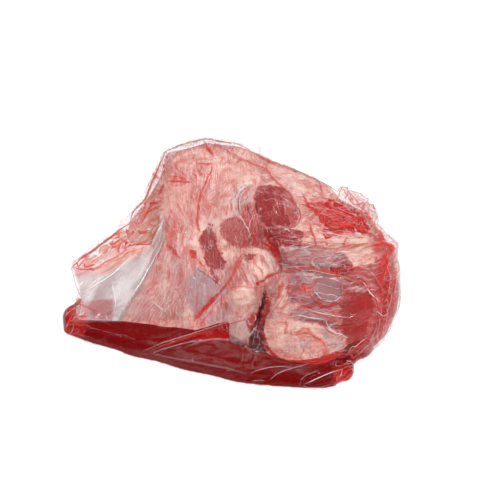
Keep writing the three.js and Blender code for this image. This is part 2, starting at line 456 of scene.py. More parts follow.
class Canvas:
    """A mesh as the photograph's camera sees it, on which patches, lines and wrinkles are laid by pixel."""

    blur: int = 3

    def __init__(self, sculpt: Sculpt, view: PhotoView) -> None:
        """Find where the mesh's points appear and which of them are seen.

        Args:
            sculpt: The mesh.
            view: The camera of the photograph.
        """
        self.places = sculpt.points
        self.pixels = view.pixels(self.places)
        toward = np.array(view.eye) - self.places
        toward /= np.linalg.norm(toward, axis=1)[:, None]
        self.seen = ease(0.0, 0.07, (sculpt.normals * toward).sum(1))
        form = bmesh.new()
        form.from_mesh(sculpt.mesh)
        tree = BVHTree.FromBMesh(form)
        form.free()
        for i in np.flatnonzero(self.seen):
            way = Vector(toward[i])
            if tree.ray_cast(Vector(self.places[i]) + way * 2 * MM, way, 1.0)[0] is not None:
                self.seen[i] = 0
        ends = np.empty(len(sculpt.mesh.edges) * 2, np.int32)
        sculpt.mesh.edges.foreach_get("vertices", ends)
        first, second = ends.reshape(-1, 2).T
        beside = np.bincount(ends, minlength=len(self.seen))
        for _ in range(self.blur):
            total = np.bincount(first, self.seen[second], len(self.seen))
            total += np.bincount(second, self.seen[first], len(self.seen))
            self.seen = 0.5 * self.seen + 0.5 * total / beside
        self.wobbles: dict[float, Array] = {}

    def wobble(self, size: float) -> Array:
        """Wander of the pixels, so that an edge laid on them comes out ragged.

        Args:
            size: Size of the wander's lumps, in pixels.

        Returns:
            One shift of a pixel's column and row, about -1 to 1, for each point.
        """
        if size not in self.wobbles:
            padded = np.pad(self.pixels / size, ((0, 0), (0, 1)), constant_values=size)
            self.wobbles[size] = np.array([noise.noise_vector(p)[:2] for p in padded])
        return self.wobbles[size]

    def ragged(self, amount: float) -> Array:
        """Pixels of the points after a coarse and a fine wander."""
        return self.pixels + amount * (self.wobble(7.0) + 0.5 * self.wobble(2.6))

    def draw(self, lines: "list[tuple[Streak | Fold, float]]", share: float) -> Array:
        """Lay lines on the mesh in such a way that a material can draw them finer than the mesh is.

        Args:
            lines: The lines, each with its strength.
            share: Share of its width that a line has.

        Returns:
            For each point its offset from the nearest line, in widths of it, and the line's strength.
        """
        nearest = np.full(len(self.seen), 1e3)
        drawn = np.zeros((len(self.seen), 3))
        for line, strength in lines:
            offsets, gaps, shares = along(self.pixels + line.ragged * self.wobble(7.0), rounded(line.path))
            width = share * line.width * (0.35 + 0.65 * ease(0, 0.3, shares) * ease(0, 0.3, 1 - shares))
            nearer = gaps / width < nearest
            nearest[nearer] = (gaps / width)[nearer]
            shown = strength * ease(4.2, 2.8, gaps) * (1 if line.at_rim else self.seen)
            drawn[nearer] = np.column_stack([offsets / width[:, None], shown])[nearer]
        return drawn


class Tissue(Enum):
    """What a patch of the brisket's surface is made of, each with its own mask on the mesh, and the painted shade
    laid in its clefts, grooves and folds.
    """

    MUSCLE = "muscle"
    FLESH = "flesh"
    SILVERSKIN = "silverskin"
    MEMBRANE = "membrane"
    CREAM = "cream"
    WHITE = "white"
    ROSE = "rose"
    BLOOD = "blood"
    # Painted shade: a dark maroon laid where the clefts, grooves and folds fall into shade.
    DARK = "dark"


@dataclass(frozen=True)
class Patch:
    """A patch of one tissue, outlined in pixels of the photograph."""

    outline: Path
    strength: float = 1.0
    soft: float = 1.5
    ragged: float = 2.0

    def mask(self, canvas: Canvas) -> Array:
        """Lay the patch on a mesh."""
        depth = within(canvas.ragged(self.ragged), rounded(f"{self.outline} {self.outline.split()[0]}"))
        return self.strength * ease(-self.soft, self.soft, depth) * canvas.seen


@dataclass(frozen=True)
class Streak:
    """A line of one tissue, such as a streak of blood, drawn in pixels of the photograph."""

    path: Path
    width: float = 1.5
    strength: float = 1.0
    ragged: float = 1.0
    at_rim: bool = False

    def mask(self, canvas: Canvas) -> Array:
        """Lay the line on a mesh.

        Args:
            canvas: The mesh as the camera sees it.

        Returns:
            The line's strength at each point.
        """
        _, gaps, shares = along(canvas.ragged(self.ragged), rounded(self.path))
        fade = ease(0, 0.12, shares) * ease(0, 0.12, 1 - shares)
        return self.strength * np.exp(-((gaps / self.width) ** 2)) * fade * canvas.seen


@dataclass(frozen=True)
class Fold:
    """A crease of the film: its path in pixels, height in millimetres, the juice along it and the painted
    highlight along it.
    """

    path: Path
    height: float = 1.0
    width: float = 1.6
    juice: float = 0.0
    painted_shine: float = 0.0
    ragged: float = 0.4
    at_rim: bool = False

    def profile(self, canvas: Canvas) -> Array:
        """Lay the crease on a mesh.

        Args:
            canvas: The mesh as the camera sees it.

        Returns:
            How much of the crease each point has, 0 to 1.
        """
        _, gaps, shares = along(canvas.ragged(self.ragged), rounded(self.path))
        fade = ease(0, 0.15, shares) * ease(0, 0.15, 1 - shares)
        return np.exp(-((gaps / self.width) ** 2)) * fade * (1 if self.at_rim else canvas.seen)


@dataclass(frozen=True)
class Wrinkles:
    """A field of fine wrinkles in the film, outlined in pixels, all running about one way."""

    name: str
    outline: Path
    heading: float
    spacing: float = 5.0
    length: float = 22.0
    height: float = 0.8
    # Strength of the painted highlight on the crests of the wrinkles.
    painted_shine: float = 0.3
    juice: float = 0.0
    soft: float = 6.0
    seed: float = 0.0

    def lay(self, canvas: Canvas) -> tuple[Array, Array]:
        """Lay the wrinkles on a mesh.

        Args:
            canvas: The mesh as the camera sees it.

        Returns:
            How many widths each point lies aside of the nearest wrinkle, and its share of the field.
        """
        turn = math.radians(self.heading)
        places = canvas.pixels + 1.5 * canvas.wobble(7.0)
        run = places @ np.array([math.cos(turn), -math.sin(turn)]) / self.length
        side = places @ np.array([math.sin(turn), math.cos(turn)]) / self.spacing
        values = noise_at(np.stack([side, run], 1), self.seed + 7.3) / 0.16
        area = ease(-self.soft, self.soft, within(canvas.pixels, spots(self.outline)))
        return values, area * canvas.seen


@dataclass(frozen=True)
class Veil:
    """A soft field of haze or juice in the film, outlined in pixels."""

    outline: Path
    haze: float = 0.0
    juice: float = 0.0
    soft: float = 4.0
    ragged: float = 2.0
    crinkle: float | None = None
    # How far the haze darkens to a wine grey: over the cleft and the side of the tent this is painted shade, in
    # the band above the pool the juice behind the film.
    shade: float = 0.0
    peach: float = 0.0

    def area(self, canvas: Canvas) -> Array:
        """Lay the field on a mesh."""
        depth = within(canvas.ragged(self.ragged), spots(self.outline))
        return ease(-self.soft, self.soft, depth) * canvas.seen


@dataclass(frozen=True)
class Lump:
    """A rounded lump of meat: middle and half sizes in millimetres, turns about X, Y and Z in degrees."""

    middle: tuple[float, float, float]
    size: tuple[float, float, float]
    turns: tuple[float, float, float] = (0, 0, 0)
    squareness: float = 2.0
    taper: float = 0.0

    def add_to(self, form: Form) -> None:
        """Add the lump to a form.

        Args:
            form: The form.
        """
        made = bmesh.ops.create_icosphere(form, subdivisions=5, radius=1)["verts"]
        for vertex in made:
            vertex.co /= sum(abs(c) ** self.squareness for c in vertex.co) ** (1 / self.squareness)
            vertex.co.x *= 1 - self.taper * vertex.co.y
        place = Matrix.Translation(Vector(self.middle) * MM)
        for axis, angle in zip("XYZ", self.turns):
            place = place @ Matrix.Rotation(math.radians(angle), 4, axis)
        place = place @ Matrix.Diagonal(Vector(self.size + (1 / MM,)) * MM)
        bmesh.ops.transform(form, matrix=place, verts=made)


class Shader:
    """A material's nodes, with short ways to add and join them."""

    def __init__(self, name: str) -> None:
        """Start an empty material.

        Args:
            name: The material's name.
        """
        self.material = bpy.data.materials.new(name)
        self.material.use_nodes = True
        self.tree = self.material.node_tree
        self.tree.nodes.clear()

    def node(self, kind: str, inputs: dict | None = None, **settings: object) -> bpy.types.Node:
        """Add a node.

        Args:
            kind: The node's type, without the word ShaderNode.
            inputs: Values or sockets for its inputs, by name or number.
            settings: Its settings.

        Returns:
            The node.
        """
        node = self.tree.nodes.new("ShaderNode" + kind)
        for key, value in settings.items():
            setattr(node, key, value)
        for key, value in (inputs or {}).items():
            if isinstance(value, Socket):
                self.tree.links.new(value, node.inputs[key])
            else:
                node.inputs[key].default_value = value
        return node

    def math(self, operation: str, *values: object, clamp: bool = False) -> Socket:
        """Add a Math node."""
        return self.node("Math", dict(enumerate(values)), operation=operation, use_clamp=clamp).outputs[0]

    def times(self, *values: object, clamp: bool = False) -> Socket:
        """Multiply two values."""
        return self.math("MULTIPLY", *values, clamp=clamp)

    def plus(self, *values: object, clamp: bool = False) -> Socket:
        """Add two values."""
        return self.math("ADD", *values, clamp=clamp)

    def mix(self, share: object, first: object, second: object, blend: str = "MIX") -> Socket:
        """Mix two colours."""
        node = self.node("Mix", {0: share, 6: first, 7: second}, data_type="RGBA", blend_type=blend)
        return node.outputs[2]

    def attribute(self, name: str) -> Socket:
        """Read a value that is stored on the mesh."""
        return self.node("Attribute", attribute_name=name).outputs["Fac"]

    def noise(self, where: object, scale: float, detail: float = 2.0, **inputs: float) -> Socket:
        """Add a noise texture."""
        made = self.node("TexNoise", {"Vector": where, "Scale": scale, "Detail": detail} | inputs)
        return made.outputs["Fac"]

    def scaled(self, where: object, across: float, along_it: float, shift: float = 0.0) -> Socket:
        """Scale coordinates that run across and along fibres or wrinkles."""
        return self.node("Mapping", {"Vector": where, "Scale": (across, along_it, 1),
                                     "Location": (shift, shift, shift)}).outputs[0]

    def between(self, value: object, low: float, high: float, start: float = 0, end: float = 1) -> object:
        """Rise smoothly as a value goes from low to high."""
        inputs = {"Value": value, "From Min": low, "From Max": high, "To Min": start, "To Max": end}
        return self.node("MapRange", inputs, interpolation_type="SMOOTHSTEP").outputs[0]

    def line(self, name: str, uneven: object) -> Socket:
        """Draw the lines that are laid on the mesh.

        Args:
            name: Name of the attribute that holds them.
            uneven: A noise that makes their width uneven, about -0.5 to 0.5.

        Returns:
            How much of a line there is, 0 to 1.
        """
        laid = self.node("Attribute", attribute_name=name).outputs["Vector"]
        strength = self.node("SeparateXYZ", {0: laid}).outputs["Z"]
        flat = self.node("VectorMath", {0: laid, 1: (1, 1, 0)}, operation="MULTIPLY").outputs["Vector"]
        gap = self.node("VectorMath", {0: flat}, operation="LENGTH").outputs["Value"]
        return self.math("MULTIPLY", self.between(self.math("ADD", gap, uneven), 1.25, 0.55), strength)

    def finish(self, surface: Socket) -> bpy.types.Material:
        """Join the surface to the output."""
        self.node("OutputMaterial", {"Surface": surface})
        return self.material


@dataclass(frozen=True)
class MeatFinish:
    """Wet cured meat: pale fat and membrane with fibres, the tissues that are painted on the mesh, and painted
    shade in its clefts and grooves.
    """

    fat: Colour = linear(219, 158, 149)
    fat_pink: Colour = linear(200, 118, 113)
    fat_pale: Colour = linear(245, 212, 202)
    lilac: Colour = linear(204, 158, 164)
    thread: Colour = linear(206, 62, 54)
    muscle: Colour = linear(154, 42, 45)
    muscle_light: Colour = linear(192, 90, 88)
    flesh: Colour = linear(176, 78, 78)
    flesh_light: Colour = linear(208, 128, 124)
    silverskin: Colour = linear(168, 146, 150)
    membrane: Colour = linear(146, 74, 77)
    skin: Colour = linear(194, 136, 134)
    cream: Colour = linear(240, 202, 188)
    white: Colour = linear(248, 220, 212)
    rose: Colour = linear(206, 96, 84)
    blood: Colour = linear(202, 36, 34)
    # Painted shade for the clefts, grooves and folds of the meat.
    dark: Colour = linear(90, 18, 22)

    def material(self) -> bpy.types.Material:
        """Make the material.

        Returns:
            The material.
        """
        s = Shader("meat")
        place = s.node("TexCoord").outputs["Object"]
        grain = s.node("Attribute", attribute_name="grain").outputs["Vector"]
        broad = s.noise(s.scaled(grain, 0.10, 0.030), 1, 3, Roughness=0.6, Distortion=1.0)
        middle = s.noise(s.scaled(grain, 0.24, 0.06), 1, 4, Roughness=0.62, Distortion=1.6)
        fine = s.noise(s.scaled(grain, 0.75, 0.12), 1, 3, Roughness=0.6, Distortion=1.0)
        threads = s.noise(s.scaled(grain, 0.34, 0.035, 3.0), 1, 3, Roughness=0.55, Distortion=1.2)
        cloudy = s.noise(place, 60, 4, Roughness=0.6, Distortion=0.5)
        speck = s.noise(place, 520, 3, Roughness=0.6)
        colour = s.mix(s.between(broad, 0.30, 0.66), self.fat_pink, self.fat)
        colour = s.mix(s.times(s.between(middle, 0.50, 0.34), 0.6), colour, self.fat_pink)
        colour = s.mix(s.times(s.between(middle, 0.50, 0.68), 0.6), colour, self.fat_pale)
        colour = s.mix(s.times(s.between(fine, 0.52, 0.66), 0.65), colour, self.fat_pale)
        colour = s.mix(s.times(s.between(cloudy, 0.52, 0.70), 0.4), colour, self.fat_pale)
        colour = s.mix(s.times(s.between(fine, 0.46, 0.32), 0.5), colour, self.fat_pink)
        colour = s.mix(s.times(s.between(cloudy, 0.48, 0.36), 0.45), colour, self.lilac)
        reds = s.times(s.between(threads, 0.43, 0.36), s.between(cloudy, 0.60, 0.45))
        colour = s.mix(s.times(reds, 0.8), colour, self.thread)
        for across, along_it, shift, low, high, tint in ((0.20, 0.028, 6.0, 0.52, 0.62, self.fat_pale),
                                                         (0.17, 0.026, 11.0, 0.52, 0.40, self.thread),
                                                         (0.34, 0.05, 17.0, 0.50, 0.42, self.thread),
                                                         (0.42, 0.10, 23.0, 0.40, 0.55, self.fat_pale)):
            strand = s.noise(s.scaled(grain, across, along_it, shift), 1, 2, Roughness=0.5, Distortion=0.6)
            strand = s.between(s.math("ABSOLUTE", s.math("SUBTRACT", strand, 0.5)), 0.035, 0.0)
            colour = s.mix(s.times(s.times(strand, s.between(cloudy, low, high)), 0.5),
                           colour, tint)
        meat = s.mix(s.between(s.plus(s.times(middle, 0.5), s.times(speck, 0.5)),
                               0.46, 0.72), self.muscle, self.muscle_light)
        flesh = s.mix(s.between(s.plus(s.times(middle, 0.6), s.times(speck, 0.4)),
                                0.42, 0.64), self.flesh, self.flesh_light)
        lumpy = s.noise(place, 70, 4, Roughness=0.6, Distortion=0.9)
        vein = s.noise(place, 60, 3, Roughness=0.5, Distortion=0.8)
        vein = s.math("ABSOLUTE", s.math("SUBTRACT", vein, 0.5))
        rind = s.mix(s.times(s.between(lumpy, 0.58, 0.38), 0.6), self.cream, self.fat)
        rind = s.mix(s.times(s.between(cloudy, 0.48, 0.34), 0.4), rind, self.rose)
        rind = s.mix(s.times(s.times(s.between(vein, 0.025, 0.0),
                                               s.between(lumpy, 0.55, 0.42)), 0.5), rind, self.thread)
        skin = s.mix(s.between(s.plus(s.times(middle, 0.5), s.times(cloudy, 0.5)),
                               0.42, 0.62), self.membrane, self.skin)
        grey = s.mix(s.between(fine, 0.48, 0.66), self.silverskin, self.fat_pink)
        lace = s.noise(place, 240, 3, Roughness=0.7)
        vary = s.plus(s.times(s.math("SUBTRACT", s.plus(cloudy, lace), 1.0), 0.8),
                      s.times(s.math("SUBTRACT", s.plus(fine, speck), 1.0), 0.5))
        # Each tissue is mixed over the colour by its mask; the last one lays painted shade.
        for tissue, tint, low, high, spread in (
                (Tissue.CREAM, rind, 0.1, 0.75, 0.8), (Tissue.WHITE, self.white, 0.15, 1.0, 1.3),
                (Tissue.ROSE, self.rose, 0.1, 1.1, 1.0), (Tissue.MEMBRANE, skin, 0.15, 0.7, 1.0),
                (Tissue.SILVERSKIN, grey, 0.15, 0.95, 1.1), (Tissue.FLESH, flesh, 0.2, 0.7, 1.4),
                (Tissue.MUSCLE, meat, 0.36, 0.62, 1.7),
                (Tissue.BLOOD, self.blood, 0.3, 0.62, 0.9), (Tissue.DARK, self.dark, 0.3, 0.8, 0.5)):
            mask = s.attribute(tissue.value)
            edge = s.times(s.times(vary, spread), s.between(mask, 0.02, 0.3))
            colour = s.mix(s.between(s.plus(mask, edge), low, high), colour, tint)
        uneven = s.times(s.math("SUBTRACT", s.plus(fine, speck), 1.0), 2.4)
        # Fine lines of blood, and fine lines of painted shade along the grooves.
        for name, tint in (("blood_lines", self.blood), ("dark_lines", self.dark)):
            colour = s.mix(s.line(name, uneven), colour, tint)
        height = s.plus(s.times(middle, 1.0), s.times(s.plus(fine, speck), 0.4))
        bump = s.node("Bump", {"Height": height, "Strength": 0.7, "Distance": 0.9 * MM}).outputs[0]
        body = s.node("BsdfPrincipled", {
            "Base Color": colour, "Roughness": s.between(speck, 0.3, 0.7, 0.32, 0.5), "Normal": bump,
            "Subsurface Weight": 0.12, "Subsurface Radius": (1.0, 0.35, 0.25), "Subsurface Scale": 1.5 * MM,
            "Specular IOR Level": 0.25})
        return s.finish(body.outputs[0])


@dataclass(frozen=True)
class FilmFinish:
    """Thin clear film: gloss, a cloudy haze where it lies loose, painted highlights along its creases, and thin
    juice in its creases.
    """

    haze: Colour = linear(184, 163, 164)
    # Painted highlight: the near-white in which crease lines are drawn in place of their gloss.
    painted_shine: Colour = linear(250, 244, 246)
    wine: Colour = linear(156, 112, 115)
    peach: Colour = linear(216, 160, 136)
    rim: Colour = linear(176, 100, 88)
    crease: Colour = linear(214, 42, 36)
    tan: Colour = linear(198, 98, 74)
    juice: Colour = linear(168, 12, 16)

    def material(self) -> bpy.types.Material:
        """Make the material.

        Returns:
            The material.
        """
        s = Shader("bag_film")
        place = s.node("TexCoord").outputs["Object"]
        lay = s.node("Attribute", attribute_name="lay").outputs["Vector"]
        wave = s.noise(s.scaled(lay, 0.09, 0.03), 1, 2, Distortion=0.6)
        # Crease lines from noise: the white ones are painted highlights, the red ones juice.
        white_lines = self.creases(s, s.scaled(lay, 0.13, 0.017, 1.0), 0.020)
        red_lines = self.creases(s, s.scaled(lay, 0.11, 0.018, 5.0), 0.024)
        stray_lines = self.creases(s, s.scaled(lay, 0.06, 0.04, 9.0), 0.012)
        fine_painted_highlights = self.creases(s, s.scaled(lay, 0.26, 0.04, 12.0), 0.026)
        fine_red = self.creases(s, s.scaled(lay, 0.22, 0.036, 15.0), 0.03)
        patchy = s.noise(place, 42, 2)
        fine = s.noise(place, 330, 3, Roughness=0.6)
        clouds = s.noise(s.scaled(lay, 0.07, 0.02, 4.0), 1, 3, Distortion=0.8)
        crinkle = s.attribute("crinkle")
        white = s.times(white_lines, s.between(patchy, 0.44, 0.58))
        white = s.math("MAXIMUM", white, s.times(stray_lines, s.between(patchy, 0.56, 0.44)))
        red = s.times(red_lines, s.between(patchy, 0.54, 0.42))
        white = s.math("MAXIMUM", white, s.times(fine_painted_highlights, s.between(clouds, 0.5, 0.62)))
        red = s.math("MAXIMUM", red, s.times(fine_red, s.between(clouds, 0.5, 0.38)))
        white, red = s.times(white, crinkle), s.times(red, crinkle)
        uneven = s.times(s.math("SUBTRACT", fine, 0.5), 1.8)
        rucks = s.node("Attribute", attribute_name="rucks").outputs["Vector"]
        ruck = s.node("SeparateXYZ", {0: rucks}).outputs
        crest = s.between(s.math("ABSOLUTE", s.plus(ruck["X"], s.times(uneven, 0.3))), 0.5, 0.1)
        foot = s.between(s.math("ABSOLUTE", s.math("SUBTRACT", ruck["X"], 0.9)), 0.55, 0.1)
        # Painted highlights on the crests of the rucks, juice at their feet.
        white = s.math("MAXIMUM", white, s.times(s.times(crest, ruck["Y"]), 1.4))
        red = s.math("MAXIMUM", red, s.times(s.times(foot, ruck["Z"]), 1.6))
        drawn_highlights, drawn_red = s.line("white_lines", uneven), s.line("red_lines", uneven)
        height = s.plus(s.times(wave, 1.2), s.times(s.plus(white, red), 0.5))
        height = s.plus(height, s.times(s.plus(drawn_highlights, drawn_red), 0.6))
        bump = s.node("Bump", {"Height": height, "Strength": 0.6, "Distance": 1.2 * MM}).outputs[0]
        cloudy = s.between(clouds, 0.3, 0.7, 0.55, 1.35)
        # The haze share, raised to full on the painted highlight lines, which take the painted shine colour.
        painted_highlights = s.math("MAXIMUM", s.times(white, 0.65), drawn_highlights)
        haze_and_painted_highlight_share = s.math("MAXIMUM", s.times(s.attribute("haze"), cloudy), painted_highlights, clamp=True)
        pale = s.between(painted_highlights, 0.02, 0.2)
        murk = s.mix(s.attribute("peach"), s.mix(s.attribute("shade"), self.haze, self.wine), self.peach)
        haze_and_painted_highlight = s.node("BsdfPrincipled", {"Base Color": s.mix(pale, murk, self.painted_shine), "Roughness": 0.4,
                                         "Normal": bump, "Specular IOR Level": 0.1})
        wet = s.math("MAXIMUM", s.times(drawn_red, 0.9), s.times(red, 0.8))
        wet = s.plus(wet, s.times(s.attribute("tint"), cloudy), clamp=True)
        brown = s.times(s.between(patchy, 0.46, 0.62, 0, 0.75), s.between(s.attribute("tint"), 0.18, 0.12))
        bright = s.mix(brown, self.crease, self.tan)
        colour = s.mix(s.between(s.attribute("tint"), 0.3, 0.9), bright, self.juice)
        stain = s.node("BsdfPrincipled", {"Base Color": colour, "Roughness": 0.3, "Normal": bump,
                                          "Specular IOR Level": 0.1})
        clear = s.node("BsdfTransparent").outputs[0]
        outline = s.node("BsdfPrincipled", {"Base Color": self.rim, "Roughness": 0.4,
                                            "Specular IOR Level": 0.1})
        layer = s.node("MixShader", {0: haze_and_painted_highlight_share, 1: clear, 2: haze_and_painted_highlight.outputs[0]}).outputs[0]
        edge = s.line("rim_lines", uneven)
        layer = s.node("MixShader", {0: edge, 1: layer, 2: outline.outputs[0]}).outputs[0]
        layer = s.node("MixShader", {0: wet, 1: layer, 2: stain.outputs[0]}).outputs[0]
        gloss = s.node("BsdfAnisotropic", {"Color": (1, 1, 1, 1), "Roughness": 0.1, "Normal": bump})
        fresnel = s.node("Fresnel", {"IOR": 1.3, "Normal": bump}).outputs[0]
        share = s.math("MINIMUM", s.times(fresnel, 0.7), 0.13)
        return s.finish(s.node("MixShader", {0: share, 1: layer, 2: gloss.outputs[0]}).outputs[0])

    def creases(self, s: Shader, where: Socket, width: float) -> Socket:
        """Draw fine crease lines, where a noise passes its middle."""
        value = s.noise(where, 1, 2, Roughness=0.45, Distortion=0.35)
        return s.between(s.math("ABSOLUTE", s.math("SUBTRACT", value, 0.5)), width, 0.0)


@dataclass(frozen=True)
class JuiceFinish:
    """Curing juice: a deep wine red where it is deep, a bright red where it is thin."""

    deep: Colour = linear(118, 6, 9)
    thin: Colour = linear(160, 6, 10)

    def material(self) -> bpy.types.Material:
        """Make the material.

        Returns:
            The material.
        """
        s = Shader("curing_juice")
        place = s.node("TexCoord").outputs["Object"]
        cloud = s.noise(place, 30, 2)
        fine = s.noise(place, 160, 3)
        share = s.plus(s.attribute("thin"), s.times(s.math("SUBTRACT", cloud, 0.5), 0.35),
                       clamp=True)
        colour = s.mix(share, self.deep, self.thin)
        bump = s.node("Bump", {"Height": fine, "Strength": 0.15, "Distance": 0.5 * MM}).outputs[0]
        matt = s.between(fine, 0.3, 0.7, 0.2, 0.3)
        body = s.node("BsdfPrincipled", {"Base Color": colour, "Roughness": matt, "Normal": bump,
                                         "Specular IOR Level": 0.05})
        return s.finish(body.outputs[0])


@dataclass
class BagForm:
    """The form of the filled bag, taken from the CAD solid."""

    view: PhotoView
    relax: int = 6

    def cast(self, name: str, inset: float, edge: float) -> Sculpt:
        """Cast the form in an even mesh.

        Args:
            name: Name of the new object.
            inset: How far the surface is drawn in, in metres.
            edge: Edge length of the mesh, in metres.

        Returns:
            The cast.
        """
        form = bmesh.new()
        form.from_mesh(bpy.data.objects["bag"].data)
        bmesh.ops.remove_doubles(form, verts=form.verts, dist=0.01 * MM)
        sculpt = Sculpt(name, form)
        sculpt.remesh(edge)
        sculpt.smooth(self.relax)
        for corner in BAG_CORNERS:
            corner.move(sculpt, self.view)
        if inset:
            sculpt.push(-inset)
        return sculpt


